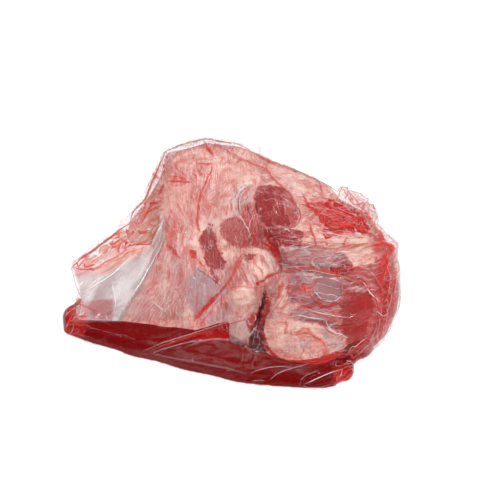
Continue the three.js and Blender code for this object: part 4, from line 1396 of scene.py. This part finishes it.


# Each fold: path, height, width, juice, painted shine (a painted highlight along the crease), ragged, at_rim.
FOLDS: tuple[Fold, ...] = (
    # The rim of the bag.
    Fold("82,299 77,288 73,274 71.5,266.6", 0, 0.5, 0.3, 0, 0.3, True),
    Fold("72.5,267 81.5,258.4 98.6,247 121.5,228.6 129.8,224", 0, 1, 0.9, 0, 0.3, True),
    Fold("129.8,224 133.5,211.6 144.9,199.6 151.1,184.5 158.6,167.6 165.3,152", 0, 0.9, 0.8, 0, 0.3,
         True),
    Fold("165.3,152 178.4,146.1 202.4,139.5 222,141.6 240,144.6", 0, 0.9, 0.8, 0, 0.3, True),
    Fold("240,145 252,152 268,160 290,168 304,174 321,182 338,191.5", 0, 0.8, 0.7, 0, 0.5, True),
    Fold("338,190.5 341.5,187 353,190.6 361,194 370,201.5 376,213.6 379,224.5 390,236.7 398,244", 0, 0.7,
         0.6, 0, 1.2, True),
    Fold("398,244 398.5,262 400,290 398,310 394,325 386,338 374,350", 0, 0.5, 0.4, 0, 0.5, True),
    # The crown and the back.
    Fold("205,142.6 213,142.5 221,147 236,156 255,165 266,169 273,178.5 288,193 295,205 299,215", 0.7,
         0.8, 0.8),
    Fold("271,175 281,183.5 299,203 304,214", 0.6, 0.7, 0.25, 0.3),
    Fold("203.5,140 206,147 213,155.5", 0.8, 1.3, 0.8),
    Fold("172.5,152 186,148.5 201,143.5", 0.3, 0.8, 0, 0.5),
    Fold("166,155 161.5,168 152,186 146,200", 0.6, 0.7, 0.55),
    Fold("168,158 164,170 157,182 150,196", 0.6, 0.7, 0, 0.55),
    Fold("165,168 164,180 163,196", 0.3, 1, 0.25), Fold("156,170 161,166 165,160", 0.5, 0.6, 0.5, 0.2),
    Fold("153,178 159,173 164,170", 0.5, 0.6, 0.4, 0.3),
    # The tent.
    Fold("76,260 94,249 110.5,237.5 127.7,230", 0.6, 0.7, 0.7),
    Fold("71.5,266.6 80.7,269.5 94.4,269 103.6,263.5 117.4,256.3 124.3,250.5", 1.2, 0.9, 0.75),
    Fold("90,272 104,267 118,260 130,252 148,247", 0.6, 0.7, 0.45),
    Fold("124.3,250.5 131.2,245 149.5,244.2 155.3,233.5 161,223", 0.8, 0.9, 0.8),
    Fold("134,243 146,241 152,231 159,222", 0.5, 0.7, 0.6),
    Fold("116.3,236.8 110.5,244.8 119.7,240.2 116.3,236.8", 0.4, 0.7, 0.8),
    Fold("113,242.5 116.5,239.5", 0.2, 1.2, 0, 0.6), Fold("119,236 124,241 130,243", 0.4, 0.6, 0.7),
    Fold("79,262 85.3,259.7 83,262", 0.3, 1, 0, 0.55),
    Fold("95.6,253 100.2,257.4 95.6,261", 0.3, 1.1, 0, 0.45),
    Fold("100,248 106,244 112,247", 0.3, 0.9, 0, 0.45),
    Fold("96,262 101,256 106,251 114,247", 0.4, 0.7, 0.6), Fold("78,268 83,262 92,258", 0.4, 0.6, 0.55),
    Fold("126.5,229 127,231.5 127,234", 0.4, 1.6, 0.9),
    Fold("138,230.5 142,233 149,230.5", 0.4, 1.9, 0.95), Fold("152,203 147,213 141,224", 0.5, 1, 0.7),
    Fold("149.5,203.5 155.5,203", 0.4, 1.5, 0.9), Fold("146,206 139,218 133,232", 0.6, 0.7, 0.4, 0.2),
    Fold("138,207 134,218 129,228", 0.6, 0.7, 0.2, 0.45),
    Fold("141,207 137,218 134,226", 0.5, 0.6, 0, 0.6),
    Fold("147,219 150,224 156,226 160,219", 0.5, 0.7, 0.5),
    Fold("83,293 98,284 115,272.5 131,257.5", 1.4, 1, 0, 0.45),
    Fold("284,250 310,250 340,253 366,256", 0, 0.9, 0, 0.2),
    Fold("152,243.5 158,232 163.5,221.5 164,214", 0.9, 0.9, 0, 0.35),
    Fold("86,290 94,282 104,276", 0.6, 0.7, 0, 0.22),
    Fold("104,300 110,290 118,280 128,272", 0.6, 0.9, 0, 0.08),
    Fold("96,280 112,270 126,258", 0.5, 0.7, 0, 0.1), Fold("112,280 114,292 116,308", 0.6, 1.4, 0, 0.12),
    Fold("88,277 102,273 118,265 134,256", 0.4, 0.7, 0.35),
    # The gathered corners.
    Fold("73,302.5 80,304.5 88,307.5 97,311", 0.8, 0.8, 0.7), Fold("70,307 73,302 80,298", 0.6, 0.9, 0.9),
    Fold("165,226 163,241 153,261 141,282 130,299 123,313", 0.4, 0.9, 0, 0.3),
    Fold("162,224 159.5,238 153,252", 0, 3, 0, 0.1),
    # The slab.
    Fold("152,301 160,308 167,313", 0.5, 0.8, 0, 0.7), Fold("165,300 168,308 174,316", 0.4, 0.7, 0, 0.35),
    Fold("178,250 188,262 194,270", 0.4, 0.7, 0.3, 0.2),
    Fold("196,326 206,314 216,301 228,288", 0.7, 1.2, 0, 0.25),
    Fold("221,290 231,276.7 239.4,258.5 245,251", 0.6, 0.9, 0.65, 0, 1.2),
    # The middle.
    Fold("223.6,288.8 241.8,286.4 249,287.6 262.4,287.6", 0.4, 0.7, 0.55),
    Fold("241.8,269.4 246.7,279 247.9,287.6", 0.5, 0.8, 0.6),
    Fold("232,275.5 238.2,267 243,269.4", 0.4, 0.7, 0.5),
    Fold("236,268 239,273 238,279", 0.4, 1.6, 0, 0.4), Fold("243,262 249,270 254,280", 0.4, 0.9, 0, 0.3),
    Fold("232,294 240,290 252,291", 0.4, 1.2, 0, 0.4), Fold("240,306 247,302 254,305", 0.4, 1.2, 0, 0.35),
    Fold("222,297 236,300 248,296", 0.4, 0.7, 0.35),
    Fold("256,283.5 262.4,279.3 270,276 277.5,271.8", 0.8, 1.3, 0.4, 0, 1.4),
    Fold("268,254 274,262 275,270", 0.3, 0.8, 0, 0.4),
    # The pool, with lines of painted sheen along its front.
    Fold("143,351 160,344 188,335 210,328 226,323 250,315", 1.2, 0.7, 0, 0.4),
    Fold("150,351 170,343 200,333 226,325 250,318", 0, 1.4, 0.7),
    Fold("144,354.5 162,349.5 183,344 205,339.5 225,339.5 234,341", 0.8, 0.9, 0, 0.3),
    Fold("192,344 206,340.5 222,339.5 232,341", 0, 2.6, 0, 0.16),
    Fold("178,352 200,343 222,339 244,341", 0.5, 0.7, 0, 0.14),
    Fold("150,353 178,359 205,364 230,369 246,374", 0.3, 2.8, 0, 0.13),
    Fold("140,356 170,363 210,371 248,379", 0.2, 1.2, 0, 0.06),
    Fold("205,352 206,360 205,366", 0.6, 0.8, 0, 0.12),
    Fold("243,352 242,360 240,367", 0.6, 0.8, 0, 0.14),
    Fold("256,352 254,360 251,370", 0.6, 0.7, 0, 0.12),
    Fold("250,374 258,370.5 268.5,368 280,366.8 292,366.7", 1, 0.7, 0, 0.4),
    Fold("269.7,380 277,374 286,370.5 295,368 309.7,364", 1.1, 0.8, 0, 0.42),
    Fold("251.5,381 258,380 266,380.8", 0.8, 0.7, 0, 0.25),
    # The flap.
    Fold("305,383.6 318,378 330,373 342.4,369", 1.1, 0.8, 0, 0.85),
    Fold("300,385 302,379 307,375 319,370", 0.8, 0.8, 0, 0.28),
    Fold("337.6,380 341,374 342.4,369", 0.8, 0.9, 0, 0.7),
    Fold("302,386 316,387.5 332,384", 0.4, 0.7, 0, 0.3), Fold("318,360 330,357 344,352", 0, 1.2, 0.6),
    # The gathered corners.
    Fold("341,356 352,349 362,343 371,337", 1.2, 1.3, 0.9),
    Fold("353,347.5 360,342 368,336.4", 0.8, 0.8, 0, 0.7),
    Fold("347,352 351,347 355,346 352,350", 0.7, 0.6, 0, 0.45),
    Fold("358,354 364,348 370,343", 0.8, 0.9, 0, 0.7), Fold("344,364 350,361 354,366", 0.8, 0.8, 0, 0.5),
    # The roll.
    Fold("280,271 292,270 305,269 320,270 332,272.5 347,278.5 362,285 371,292", 0.9, 1.5, 0.95),
    Fold("330,271 348,269 362,266 372,264", 0.5, 1, 0.8),
    Fold("364,284.5 370,291 376,300 378,312", 0.6, 0.8, 0.7),
    Fold("300,270.8 315,271 330,274.2 345,276.5 356,282", 0.5, 0.7, 0, 0.45),
    Fold("283,268.5 296,267 310,266.3", 0.4, 0.7, 0, 0.4),
    Fold("268.5,239 278,240.3 292.7,242.7 317,246.4 336.4,248.8 359.4,244", 0.7, 0.9, 0.7),
    Fold("275,238.5 292,241 312,244 330,246", 0.4, 0.6, 0, 0.4),
    # The purple band.
    Fold("314.5,252.4 328,251 341,251.2 365.5,253.6 376,258.5", 0.6, 0.7, 0.25, 0.3),
    Fold("282,252 296,249.5 316,249", 0.5, 0.6, 0, 0.4),
    Fold("309.7,223.3 312,232 314.5,239 317,246.4", 0.6, 1.3, 0.9),
    Fold("347.3,236.7 345,241 342.4,246.4", 0.5, 1.1, 0.85),
    Fold("319.4,182 321.5,190 323,198", 0.4, 0.8, 0.8),
    Fold("321.8,219.7 332.7,227 342,227 351,225.8 359.4,230.6", 0.6, 1.5, 0.9),
    Fold("324,217 341,224.5 357,223.3", 0.5, 0.9, 0.8),
    Fold("303.6,196 307.3,202.7 312,209", 0.5, 1.4, 0.8),
    Fold("308.5,203 316,204 323,202.7", 0.5, 1.2, 0.8),
    Fold("336,207 342,210 350,209", 0.5, 0.8, 0.2, 0.45),
    Fold("324,212 330,216 340,217", 0.5, 0.7, 0.2, 0.4),
    Fold("311,224 322,231 336,233.5", 0.5, 0.7, 0.25, 0.4),
    Fold("318,236 330,233 344,232 358,235", 0.6, 0.7, 0.3, 0.35),
    Fold("322,241 338,238 352,238 366,242", 0.5, 0.7, 0.3, 0.3),
    # The ruffles.
    Fold("336.4,200.3 339,193 341.2,187", 1.4, 0.8, 0.7),
    Fold("341.2,187 347.3,198 354.5,205 363,202.7", 1.4, 0.8, 0.75),
    Fold("347.3,190.6 351,198 353.3,202.7", 1.4, 0.8, 0.75),
    Fold("359.4,194.2 365.5,199 371.5,202.7 375.2,213.6", 1.4, 0.7, 0.7),
    Fold("354.5,193 359.4,196.7 369,201.5", 1.2, 1.2, 0, 0.9),
    Fold("342,192 343.5,197 341,202", 1, 1.6, 0, 0.85), Fold("354,198 360,203 366,205", 1, 1.2, 0, 0.85),
    Fold("369,205 373,211 377,219", 1, 1.3, 0, 0.85), Fold("350,193 356,201 359,206", 1, 0.9, 0.6),
    Fold("365.5,208.8 370.3,217.3 376.4,230.6", 0.8, 0.8, 0.4, 0.35),
    Fold("357,205 365.5,212.4 371.5,222 377,233 382.4,242.7 391,247.6", 0.8, 1.1, 0.8),
    Fold("338,248 348,246 360,245 368,243", 0.5, 1.4, 0.9),
    # The knot.
    Fold("360,227 368,233 378,241", 0.6, 1, 0.8),
    Fold("372,217 377,227 383,236 390,241", 0.8, 0.9, 0, 0.6),
    Fold("383.6,242.7 390,246 392,249 390,255", 1.2, 2.6, 1),
    Fold("376,228 381,236 385,242", 0.6, 1.6, 0.8), Fold("387,252 384,260 380,268", 0.6, 1.6, 0.8),
    Fold("390,252 387.3,263.3 384,274 381.2,285", 0.8, 1.2, 0.9),
    Fold("372.7,263.3 382.4,258.5 389.7,250", 0.8, 1, 0.85),
    Fold("360,250 373,246 385,244", 0.8, 1.1, 0.85), Fold("365,256 376,252 386,248", 0.7, 0.8, 0.7),
    Fold("396.5,243 396,252 393.3,261", 0.8, 0.9, 0.6, 0.4),
    Fold("391,243 394.5,246 395,251", 0.8, 1.2, 0, 0.8), Fold("386,248 387,251", 0.4, 1, 0, 0.9),
    # The round patch.
    Fold("318,279 313.5,285 312.5,291", 0.8, 0.9, 0.8),
    Fold("314,291 318,296 322,301", 0.9, 0.8, 0.1, 0.8),
    Fold("322,301 330,301.5 336,300.5 341,296", 0.9, 0.8, 0, 0.8),
    Fold("342,296 342.5,289 341,283", 0.6, 0.7, 0.3, 0.3),
    Fold("297.6,307 312,306 329,305.5 336,303.6 344,300", 0.8, 1.3, 0.95),
    Fold("309,292 313,298 321,303.5", 0.6, 1.1, 0.85),
    Fold("305,308.5 320.6,313 335,316 351,317.6", 0.8, 0.8, 0, 0.7),
    Fold("306,310.5 320,315 332,318", 0.5, 0.9, 0.7),
    Fold("295,314.5 303,316 312,318 325.5,319.4", 0.8, 0.8, 0, 0.7),
    # The fat end.
    Fold("325.5,319.4 328,326 334,331.5 341,334 348.5,338", 0.8, 0.8, 0, 0.75),
    Fold("322,321 327,330 336,335", 0.5, 0.9, 0.6), Fold("304,345 310,351 317,357", 0.4, 0.6, 0, 0.6),
    Fold("291.5,322 295,325 299,328", 0.4, 0.6, 0, 0.5), Fold("292,338 296,336 298,340", 0.4, 2, 0, 0.3),
    Fold("363,282 366,287 369,291.5 374,297 379,301", 1, 1.2, 0, 0.7),
    Fold("376.4,311 382.4,315.8 387.3,313.3 387.3,309.7", 0.8, 0.8, 0, 0.75),
    Fold("366,268 374,276 379,286", 0.6, 0.7, 0.2, 0.45),
    Fold("384,262 389,274 389,288 386,300", 0.6, 0.7, 0.3, 0.35),
    Fold("392,290 390,302 386,314", 0.6, 0.7, 0, 0.4),
    Fold("370.3,267.3 377.6,281.8 381.2,290.3 380.5,312", 0.8, 1, 0.85),
    # The roll.
    Fold("269,318 275,309 281,300 286,292", 0.5, 0.8, 0.6),
    Fold("271,296 277,289 283,283", 0.5, 0.8, 0.5), Fold("286,274 289,282 287,290", 0.4, 0.8, 0.5),
    Fold("264,319 270,314 276,311", 0.5, 0.7, 0, 0.4),
    # The swirl.
    Fold("250,185 242,189 236.5,197 236,207", 0.3, 1.3, 0, 0.55, 0.8),
    Fold("254,184 245,184 237,189 233,197", 0.3, 1.5, 0, 0.45, 0.8),
    Fold("247,189 241,196 240,206 243,214", 0.3, 0.9, 0, 0.5, 0.8),
    Fold("238,213 243,221 248,229 251,236", 0.3, 1.2, 0, 0.5, 0.8),
    Fold("254,214 251,222 249,229", 0.3, 0.9, 0, 0.5, 0.8),
    Fold("233,198 233,206 236,213", 0.3, 0.9, 0, 0.4, 0.8),
    Fold("222,222 227,218 234,217", 0.3, 1.4, 0, 0.35, 0.8),
    # The eye of the muscle.
    Fold("274.5,200 277,205 279,211", 0.3, 0.6, 0, 0.3), Fold("258,206 262,214 264,222", 0.2, 0.6, 0.3),
    Fold("283,206 285,208.5 284,211", 0.2, 1.5, 0, 0.2),
    # The rim of the bag.
    Fold("296,206 299,214 298,221 293,227", 0.4, 0.6, 0, 0.5),
    Fold("297,206 300.5,214 299,222 294,228", 0.3, 0.8, 0.7),
    # The cleft.
    Fold("264,227 267,229 268,234", 0.3, 0.7, 0, 0.6),
    Fold("268.5,237 270.5,241 272,245", 0.3, 0.8, 0, 0.35),
    Fold("284,228 288,229.5 290,232", 0.3, 0.8, 0, 0.7),
    Fold("258.5,301 261,303 260,307", 0.3, 0.9, 0, 0.8),
    Fold("257.5,325 254,331 249,338", 0.3, 0.7, 0, 0.4),
    Fold("254,314 256,318 254,322", 0.3, 0.8, 0, 0.7), Fold("247,337 252,331 257,325", 0.6, 0.8, 0, 0.6),
    Fold("257,326 255,335 252,346", 0.5, 0.7, 0, 0.3),
    # The gathered corners.
    Fold("65,318 70,312 77,308", 0.8, 0.9, 0.2, 0.55), Fold("66,328 70,322 72,316", 0.8, 0.9, 0, 0.5),
    Fold("67,336 72,331 74,324", 0.7, 0.8, 0, 0.4), Fold("66,326 70,321 72,314 71,307", 0.6, 1.4, 0.9),
    Fold("68,332 80,334 90,336.5", 0.5, 1, 0.35),
)
# Each field: name, outline, heading, spacing, length, height, painted shine on the crests, juice, soft, seed.
WRINKLES: tuple[Wrinkles, ...] = (
    Wrinkles("upper tent", "72,262 95,244 124,224 134,206 150,196 164,200 164,222 150,243 120,252 86,270",
             40, 5, 26, 1.2, 0.42, 0.35, 4, 1),
    Wrinkles("top margin", "146,190 158,162 166,148 204,137 242,143 236,152 204,147 172,156 160,180", 60,
             4, 16, 0.8, 0.45, 0.2, 2.5, 2),
    Wrinkles("crown", "172,152 204,146 250,158 262,170 230,168 190,166", 15, 5, 16, 0.6, 0.15, 0.3, 5, 3),
    Wrinkles("slab", "166,170 250,160 256,240 230,320 150,312 164,230", 88, 7, 30, 0.5, 0.1, 0.1, 6, 4),
    Wrinkles("back strip", "240,144 266,158 306,172 340,190 330,204 280,180 250,160", -28, 5, 24, 0.7,
             0.2, 0.15, 3, 5),
    Wrinkles("ruffles", "326,190 342,184 362,194 378,212 390,236 372,238 352,214", 65, 6, 14, 2.2, 0.5,
             0.4, 4, 6),
    Wrinkles("red zone", "300,196 340,200 372,220 376,240 340,236 304,216", 5, 5, 20, 0.9, 0.25, 0.4, 5,
             7),
    Wrinkles("cream band", "300,224 372,232 396,250 372,272 284,268 282,246", 5, 5, 26, 0.8, 0.3, 0.2, 4,
             8),
    Wrinkles("roll", "284,270 356,274 344,300 340,322 286,320", -12, 6, 28, 0.8, 0.25, 0.2, 5, 9),
    Wrinkles("right side", "378,250 400,250 402,318 376,350 366,340 382,310 384,280", 80, 6, 26, 0.8, 0.3,
             0.3, 4, 10),
    Wrinkles("left gather", "62,312 72,302 86,306 86,336 64,338", 20, 4, 8, 1.6, 0.2, 0.3, 3, 11),
    Wrinkles("front gather", "330,366 352,350 372,336 366,356 352,376 334,386", 35, 4.5, 12, 1.6, 0.35,
             0.2, 3, 12),
    Wrinkles("pool", "90,330 250,345 340,366 330,388 240,384 100,348", 12, 9, 50, 0.6, 0.05, 0, 5, 13),
    Wrinkles("lower tent", "78,272 120,256 160,230 132,300 114,318 82,312", 35, 9, 40, 0.8, 0.06, 0, 4,
             14),
    Wrinkles("cleft", "236,330 262,318 266,356 240,352", 62, 4, 16, 1, 0.3, 0, 3, 15),
)
VEILS: tuple[Veil, ...] = (
    Veil("74,268 96,268 120,254 150,244 165,224 165,239 153,264 134,298 121,320.5 78,321 76,304 81,298",
         0.8, 0, 1.5, 0.6),
    Veil("112,278 136,268 142,276 130,296 118,308", 0.22, 0, 5, 3),
    Veil("73,301 113,299 112,321 74,321", 0.84, 0.16, 1.5, 0.8, None, 0.9),
    Veil("88,270 110,252 128,240 150,242 148,250 124,264 98,276", 0.56, 0.22, 4, 3, None, 0, 1),
    Veil("132,232 136,212 150,200 164,200 163,222 152,240 136,246", 0.1, 0.12, 5, 4),
    Veil("72,268 98,247 126,228 126,244 106,258 88,270", 0.8, 0.14, 3, 5, None, 0, 1),
    Veil("73,262 86,254 96,260 92,274 74,276", 0, 0.4, 3),
    Veil("112,246 128,240 139,246 134,260 116,260", 0, 0.36, 3, 3),
    Veil("136,252 150,250 148,264 136,270", 0, 0, 3, 3, None, 0.5),
    Veil("362,345 374,341 377,352 366,358", 0.5, 0, 2),
    Veil("76,272 98,270 106,284 98,302 80,300", 0, 0, 4, 3, None, 0.5),
    Veil("74,300 88,301 88,320 76,326", 0, 0.46, 2.5, 2, None, 0.6),
    Veil("74,267 84,258 98,252 104,260 90,269", 0.8, 0.1, 2.5, 2, None, 0, 1),
    Veil("163,212 166,224 161,246 150,264 145,252 156,238", 0.92, 0.04, 1.5, 1, 0.05, 0, 0.25),
    Veil("336,201 341,187 353,190 361,194 370,201 376,213 380,226 391,237 384,243 376,232 366,214 "
         "350,206", 0.46, 0.18, 1.5, 1.5, 1, 0, 0.6),
    Veil("384,240 392,238 399,244 397,262 390,262 386,250", 0.4, 0.15, 1.5, 1.5, 1),
    Veil("148,184 155,168 165,149 190,141 203,137 240,143 232,148 204,143 188,147 169,152 161,170 "
         "154,188", 0.5, 0.06, 2, 1),
    Veil("145,192 156,170 165,155 169,157 163,174 156,190 148,202", 0.4, 0.08, 3, 2, 1, 0, 0.8),
    Veil("397,250 404,262 404,330 372,360 368,352 396,322 399,290", 0.3, 0, 1.5, 1),
    Veil("232,300 256,290 262,300 252,320 238,334 226,324", 0.14, 0, 5, 4),
    Veil("250,326 258,322 264,326 266,350 258,356 246,354", 0.16, 0, 2, 2, None, 1),
    Veil("126,226 134,212 146,198 161,182 164,221 154,241 132,246", 0.2, 0.12, 6, 3, None, 0, 1),
    Veil("322,201 332,200 339,204 338,209 328,211 314,211 312,205", 0, 0.3, 2),
    Veil("336,368 352,362 358,368 357,378 345,386 330,384", 0, 0.42, 2.5),
    Veil("346,356 356,344 370,337 374,350 368,358 356,364", 0.1, 0.7, 2, 2, 0.8),
    Veil("364,206 374,211 384,226 392,240 384,244 374,234 368,220", 0.66, 0.04, 2.5, 3, None, 0, 0.6),
    Veil("306,204 330,198 362,206 370,222 370,234 340,228 312,214", 0, 0.32, 6, 6),
    Veil("374,252 388,250 398,262 399,300 391,326 378,336 380,306 376,280", 0, 0.36, 3, 4),
    Veil("150,264 166,250 182,258 190,290 186,320 120,318 131,296", 0.2, 0, 4, 3, 0.2, 0.4),
    Veil("264,231 270,234 275,241 279,249 282,260 280,270 277,266 271.5,250 265.7,240", 0, 0.42, 1.2,
         0.6),
    Veil("374,236 386,240 394,248 390,266 380,262 372,248", 0, 0.42, 4, 4),
    Veil("391,239 400,243 402,268 397,278 393,262", 0.8, 0, 1.5, 2, 1, 0, 0.7),
    Veil("64,308 74,304 86,318 84,338 66,332", 0, 0.3, 2),
    Veil("352,290 372,294 392,300 388,330 368,348 350,346 346,320", 0, 0.18, 8, 6),
    Veil("113,299 128,299 124,312 117,319 111,317", 0.94, 0, 1.5, 1),
    Veil("318,277 332,275 339,281 341,295 335,300 323,300 315,291", 0.45, 0.08, 1.5, 1, 0.05, 0.5),
    # Painted sheen: a faint band of haze along the front of the pool, turned towards wine grey.
    Veil("132,348 200,357 248,371 250,377 200,367 138,356", 0.06, 0, 3.5, 2, None, 0.5),
    Veil("62,318 130,318 200,330 260,356 340,362 360,380 250,400 60,350", 0, 0, 3, 1, 0.05),
    Veil("82,270 120,262 150,250 130,297 116,316 82,314", 0, 0, 4, 2, 0.1),
    Veil("72,264 100,246 126,228 150,190 166,190 162,236 120,256 88,270", 0, 0, 4, 2, 1),
    Veil("300,190 400,200 400,262 300,262", 0, 0, 6, 4, 0.7),
    Veil("346,288 376,300 372,330 352,346 340,330 342,306", 0, 0, 4, 3, 0.1),
)


@dataclass
class Film:
    """The clear film of the bag, with its folds, wrinkles, haze and juice-filled creases."""

    edge: float = 1.75 * MM
    tent: Path = (
        "60,270 94,240 122,222 131,206 144,195 148,180 165,145 "
        "172,152 164,180 164,222 150,262 131,297 120,316 60,316"
    )
    shore: Path = "60,316 130,316 165,322 230,330 260,352 300,364 350,356 370,345"
    calm: float = 0.45
    folds: tuple[Fold, ...] = FOLDS
    wrinkles: tuple[Wrinkles, ...] = WRINKLES
    veils: tuple[Veil, ...] = VEILS

    def build(self, bag: BagForm, view: PhotoView, finish: FilmFinish) -> None:
        """Make the film and dress it.

        Args:
            bag: The form of the filled bag.
            view: The camera of the photograph.
            finish: The film's finish.
        """
        film = bag.cast("bag_film", 0, self.edge)
        canvas = Canvas(film, view)
        haze, tint, shade, peach, height, most = (np.zeros(len(canvas.seen)) for _ in range(6))
        crinkle = np.full(len(canvas.seen), self.calm)
        for veil in self.veils:
            area = veil.area(canvas)
            haze = np.maximum(haze, veil.haze * area)
            tint = np.maximum(tint, veil.juice * area)
            shade = np.maximum(shade, veil.shade * area)
            peach = np.maximum(peach, veil.peach * area)
            crinkle += (veil.crinkle - self.calm) * area if veil.crinkle is not None else 0
        for fold in self.folds:
            height += fold.height * fold.profile(canvas)
        # Each point keeps its place among its wrinkles, the painted highlight on their crests and the juice at
        # their feet.
        rucks = np.zeros((len(most), 3))
        for rows in self.wrinkles:
            values, area = rows.lay(canvas)
            height += rows.height * np.clip(1 - np.abs(values), 0, 1) ** 1.5 * area
            rules = area > most
            rucks[rules] = np.column_stack([values, rows.painted_shine * area, rows.juice * area])[rules]
            most = np.maximum(most, area)
        height += self.hidden_wrinkles(canvas)
        relief = sum(form.relief(canvas) for form in BRISKET_RELIEF)
        film.push((np.clip(height, -1, 2.5) + np.where(relief > 0, 0.7, 0.2) * relief) * MM)
        places = film.points
        places[:, 2] = np.maximum(places[:, 2], 0)
        film.points = places
        for name, values in (("haze", haze), ("tint", tint), ("shade", shade), ("peach", peach),
                             ("crinkle", crinkle)):
            film.paint(name, np.clip(values, 0, 1))
        film.paint("rucks", rucks)
        inner = [fold for fold in self.folds if not fold.at_rim]
        rims = [(fold, fold.juice) for fold in self.folds if fold.at_rim]
        # Painted highlight lines along the creases, juice lines in them, and brown lines along the rim.
        film.paint("white_lines", canvas.draw([(fold, fold.painted_shine) for fold in inner if fold.painted_shine], 0.45))
        film.paint("red_lines", canvas.draw([(fold, fold.juice) for fold in inner if fold.juice], 0.8))
        film.paint("rim_lines", canvas.draw(rims, 1.0))
        film.paint("lay", self.lay(canvas))
        film.hand_in(finish.material())

    def lay(self, canvas: Canvas) -> Array:
        """Work out which way the fine wrinkles run.

        Args:
            canvas: The film as the camera sees it.

        Returns:
            For each point how far across and along the wrinkles it lies, in pixels.
        """
        x, y = canvas.pixels.T
        lay = np.stack([np.arctan2(x - 200, y + 30) * 260, np.hypot(x - 200, y + 30)], 1)
        cleft = rounded("250,140 262,190 262,229 270,240 276,260 279,274 266,290 264,310 256,330 250,352 250,400")
        to_knot = np.stack([np.arctan2(y - 244, 404 - x) * 75, np.hypot(x - 404, y - 244)], 1)
        over_roll = np.stack([y + 0.0026 * (x - 312) ** 2, x], 1)
        on_roll = x > np.interp(y, cleft[:, 1], cleft[:, 0])
        lay[on_roll] = np.where((y < 262)[:, None], to_knot, over_roll)[on_roll]
        tent = within(canvas.pixels, spots(self.tent)) > 0
        lay[tent] = np.stack([np.arctan2(y - 200, 178 - x) * 75, np.hypot(x - 178, y - 200)], 1)[tent]
        columns, rows = spots(self.shore).T
        shore = np.interp(x, columns, rows)
        pool = y > shore
        low = 337 + 0.342 * (x - 67) - 0.00055 * (x - 67) ** 2
        lay[pool] = np.stack([y - low, x], 1)[pool]
        unseen = canvas.seen < 0.3
        around = canvas.places / VIEW_PIXEL
        lay[unseen] = np.stack([around[:, 0] + around[:, 1], around[:, 2] + 0.3 * around[:, 1]], 1)[unseen]
        return np.pad(lay, ((0, 0), (0, 1)))

    def hidden_wrinkles(self, canvas: Canvas) -> Array:
        """Wrinkle the sides of the film that the photograph doesn't show.

        Args:
            canvas: The film as the camera sees it.

        Returns:
            The height of the wrinkles, in millimetres.
        """
        stretched = canvas.places / (np.array((16, 16, 34)) * MM)
        ridge = np.clip(1 - np.abs(noise_at(stretched, 21.0)) / 0.14, 0, 1) ** 1.5
        return 1.1 * ridge * (1 - canvas.seen) * ease(0.5, 6, canvas.places[:, 2] / MM)


@dataclass
class Studio:
    """The pale floor and the soft light of the photograph."""

    floor_size: float = 6.0
    floor: Colour = (0.36, 0.36, 0.36, 1.0)
    glow: float = 0.8
    key: float = 12.8
    fill: float = 9.0
    sparkle: float = 2.5
    sky: float = 0.6
    reflected_sky: float = 0.09

    def build(self) -> None:
        """Make the floor, the lights and the surroundings."""
        form = bmesh.new()
        bmesh.ops.create_grid(form, x_segments=8, y_segments=8, size=self.floor_size / 2)
        ground = Sculpt("studio_floor", form)
        s = Shader("studio_floor")
        grain = s.noise(s.node("TexCoord").outputs["Object"], 40, 2)
        colour = s.mix(s.between(grain, 0.3, 0.7, 0, 0.03), self.floor, (1, 1, 1, 1))
        body = s.node("BsdfPrincipled", {"Base Color": colour, "Roughness": 0.9, "Specular IOR Level": 0.1,
                                         "Emission Color": (1, 1, 1, 1), "Emission Strength": self.glow})
        ground.mesh.materials.append(s.finish(body.outputs[0]))
        for name, place, size, power in (("key_light", (-0.5, -0.1, 2.1), 1.4, self.key),
                                         ("fill_light", (1.4, -0.9, 1.3), 1.2, self.fill),
                                         ("back_light", (0.5, 1.6, 1.5), 1.2, self.fill),
                                         ("left_sparkle", (-1.0, -1.1, 1.5), 0.16, self.sparkle),
                                         ("right_sparkle", (0.9, -0.9, 1.8), 0.16, self.sparkle),
                                         ("top_sparkle", (0.1, 0.3, 2.2), 0.2, self.sparkle)):
            data = bpy.data.lights.new(name, "AREA")
            data.size = size
            data.energy = power
            lamp = bpy.data.objects.new(name, data)
            lamp.location = place
            lamp.rotation_euler = (Vector((0, 0, 0.05)) - lamp.location).to_track_quat("-Z", "Y").to_euler()
            bpy.context.scene.collection.objects.link(lamp)
        world = bpy.data.worlds.new("studio")
        world.use_nodes = True
        nodes = world.node_tree.nodes
        sky = nodes["Background"]
        sky.inputs["Color"].default_value = (1, 1, 1, 1)
        strength = nodes.new("ShaderNodeMapRange")
        strength.inputs["To Min"].default_value = self.sky
        strength.inputs["To Max"].default_value = self.reflected_sky
        ray = nodes.new("ShaderNodeLightPath")
        world.node_tree.links.new(ray.outputs["Is Glossy Ray"], strength.inputs["Value"])
        world.node_tree.links.new(strength.outputs[0], sky.inputs["Strength"])
        bpy.context.scene.world = world
        bpy.context.scene.view_settings.view_transform = "Standard"


def main() -> None:
    """Build the dressed brisket in its bag, with the studio and the camera."""
    logging.basicConfig(level=logging.INFO, format="%(name)s: %(message)s")
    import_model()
    view = PhotoView()
    view.camera()
    Studio().build()
    bag = BagForm(view)
    Brisket().build(bag, view, MeatFinish())
    Juice().build(bag, view, JuiceFinish())
    Film().build(bag, view, FilmFinish())


if __name__ == "__main__":
    main()
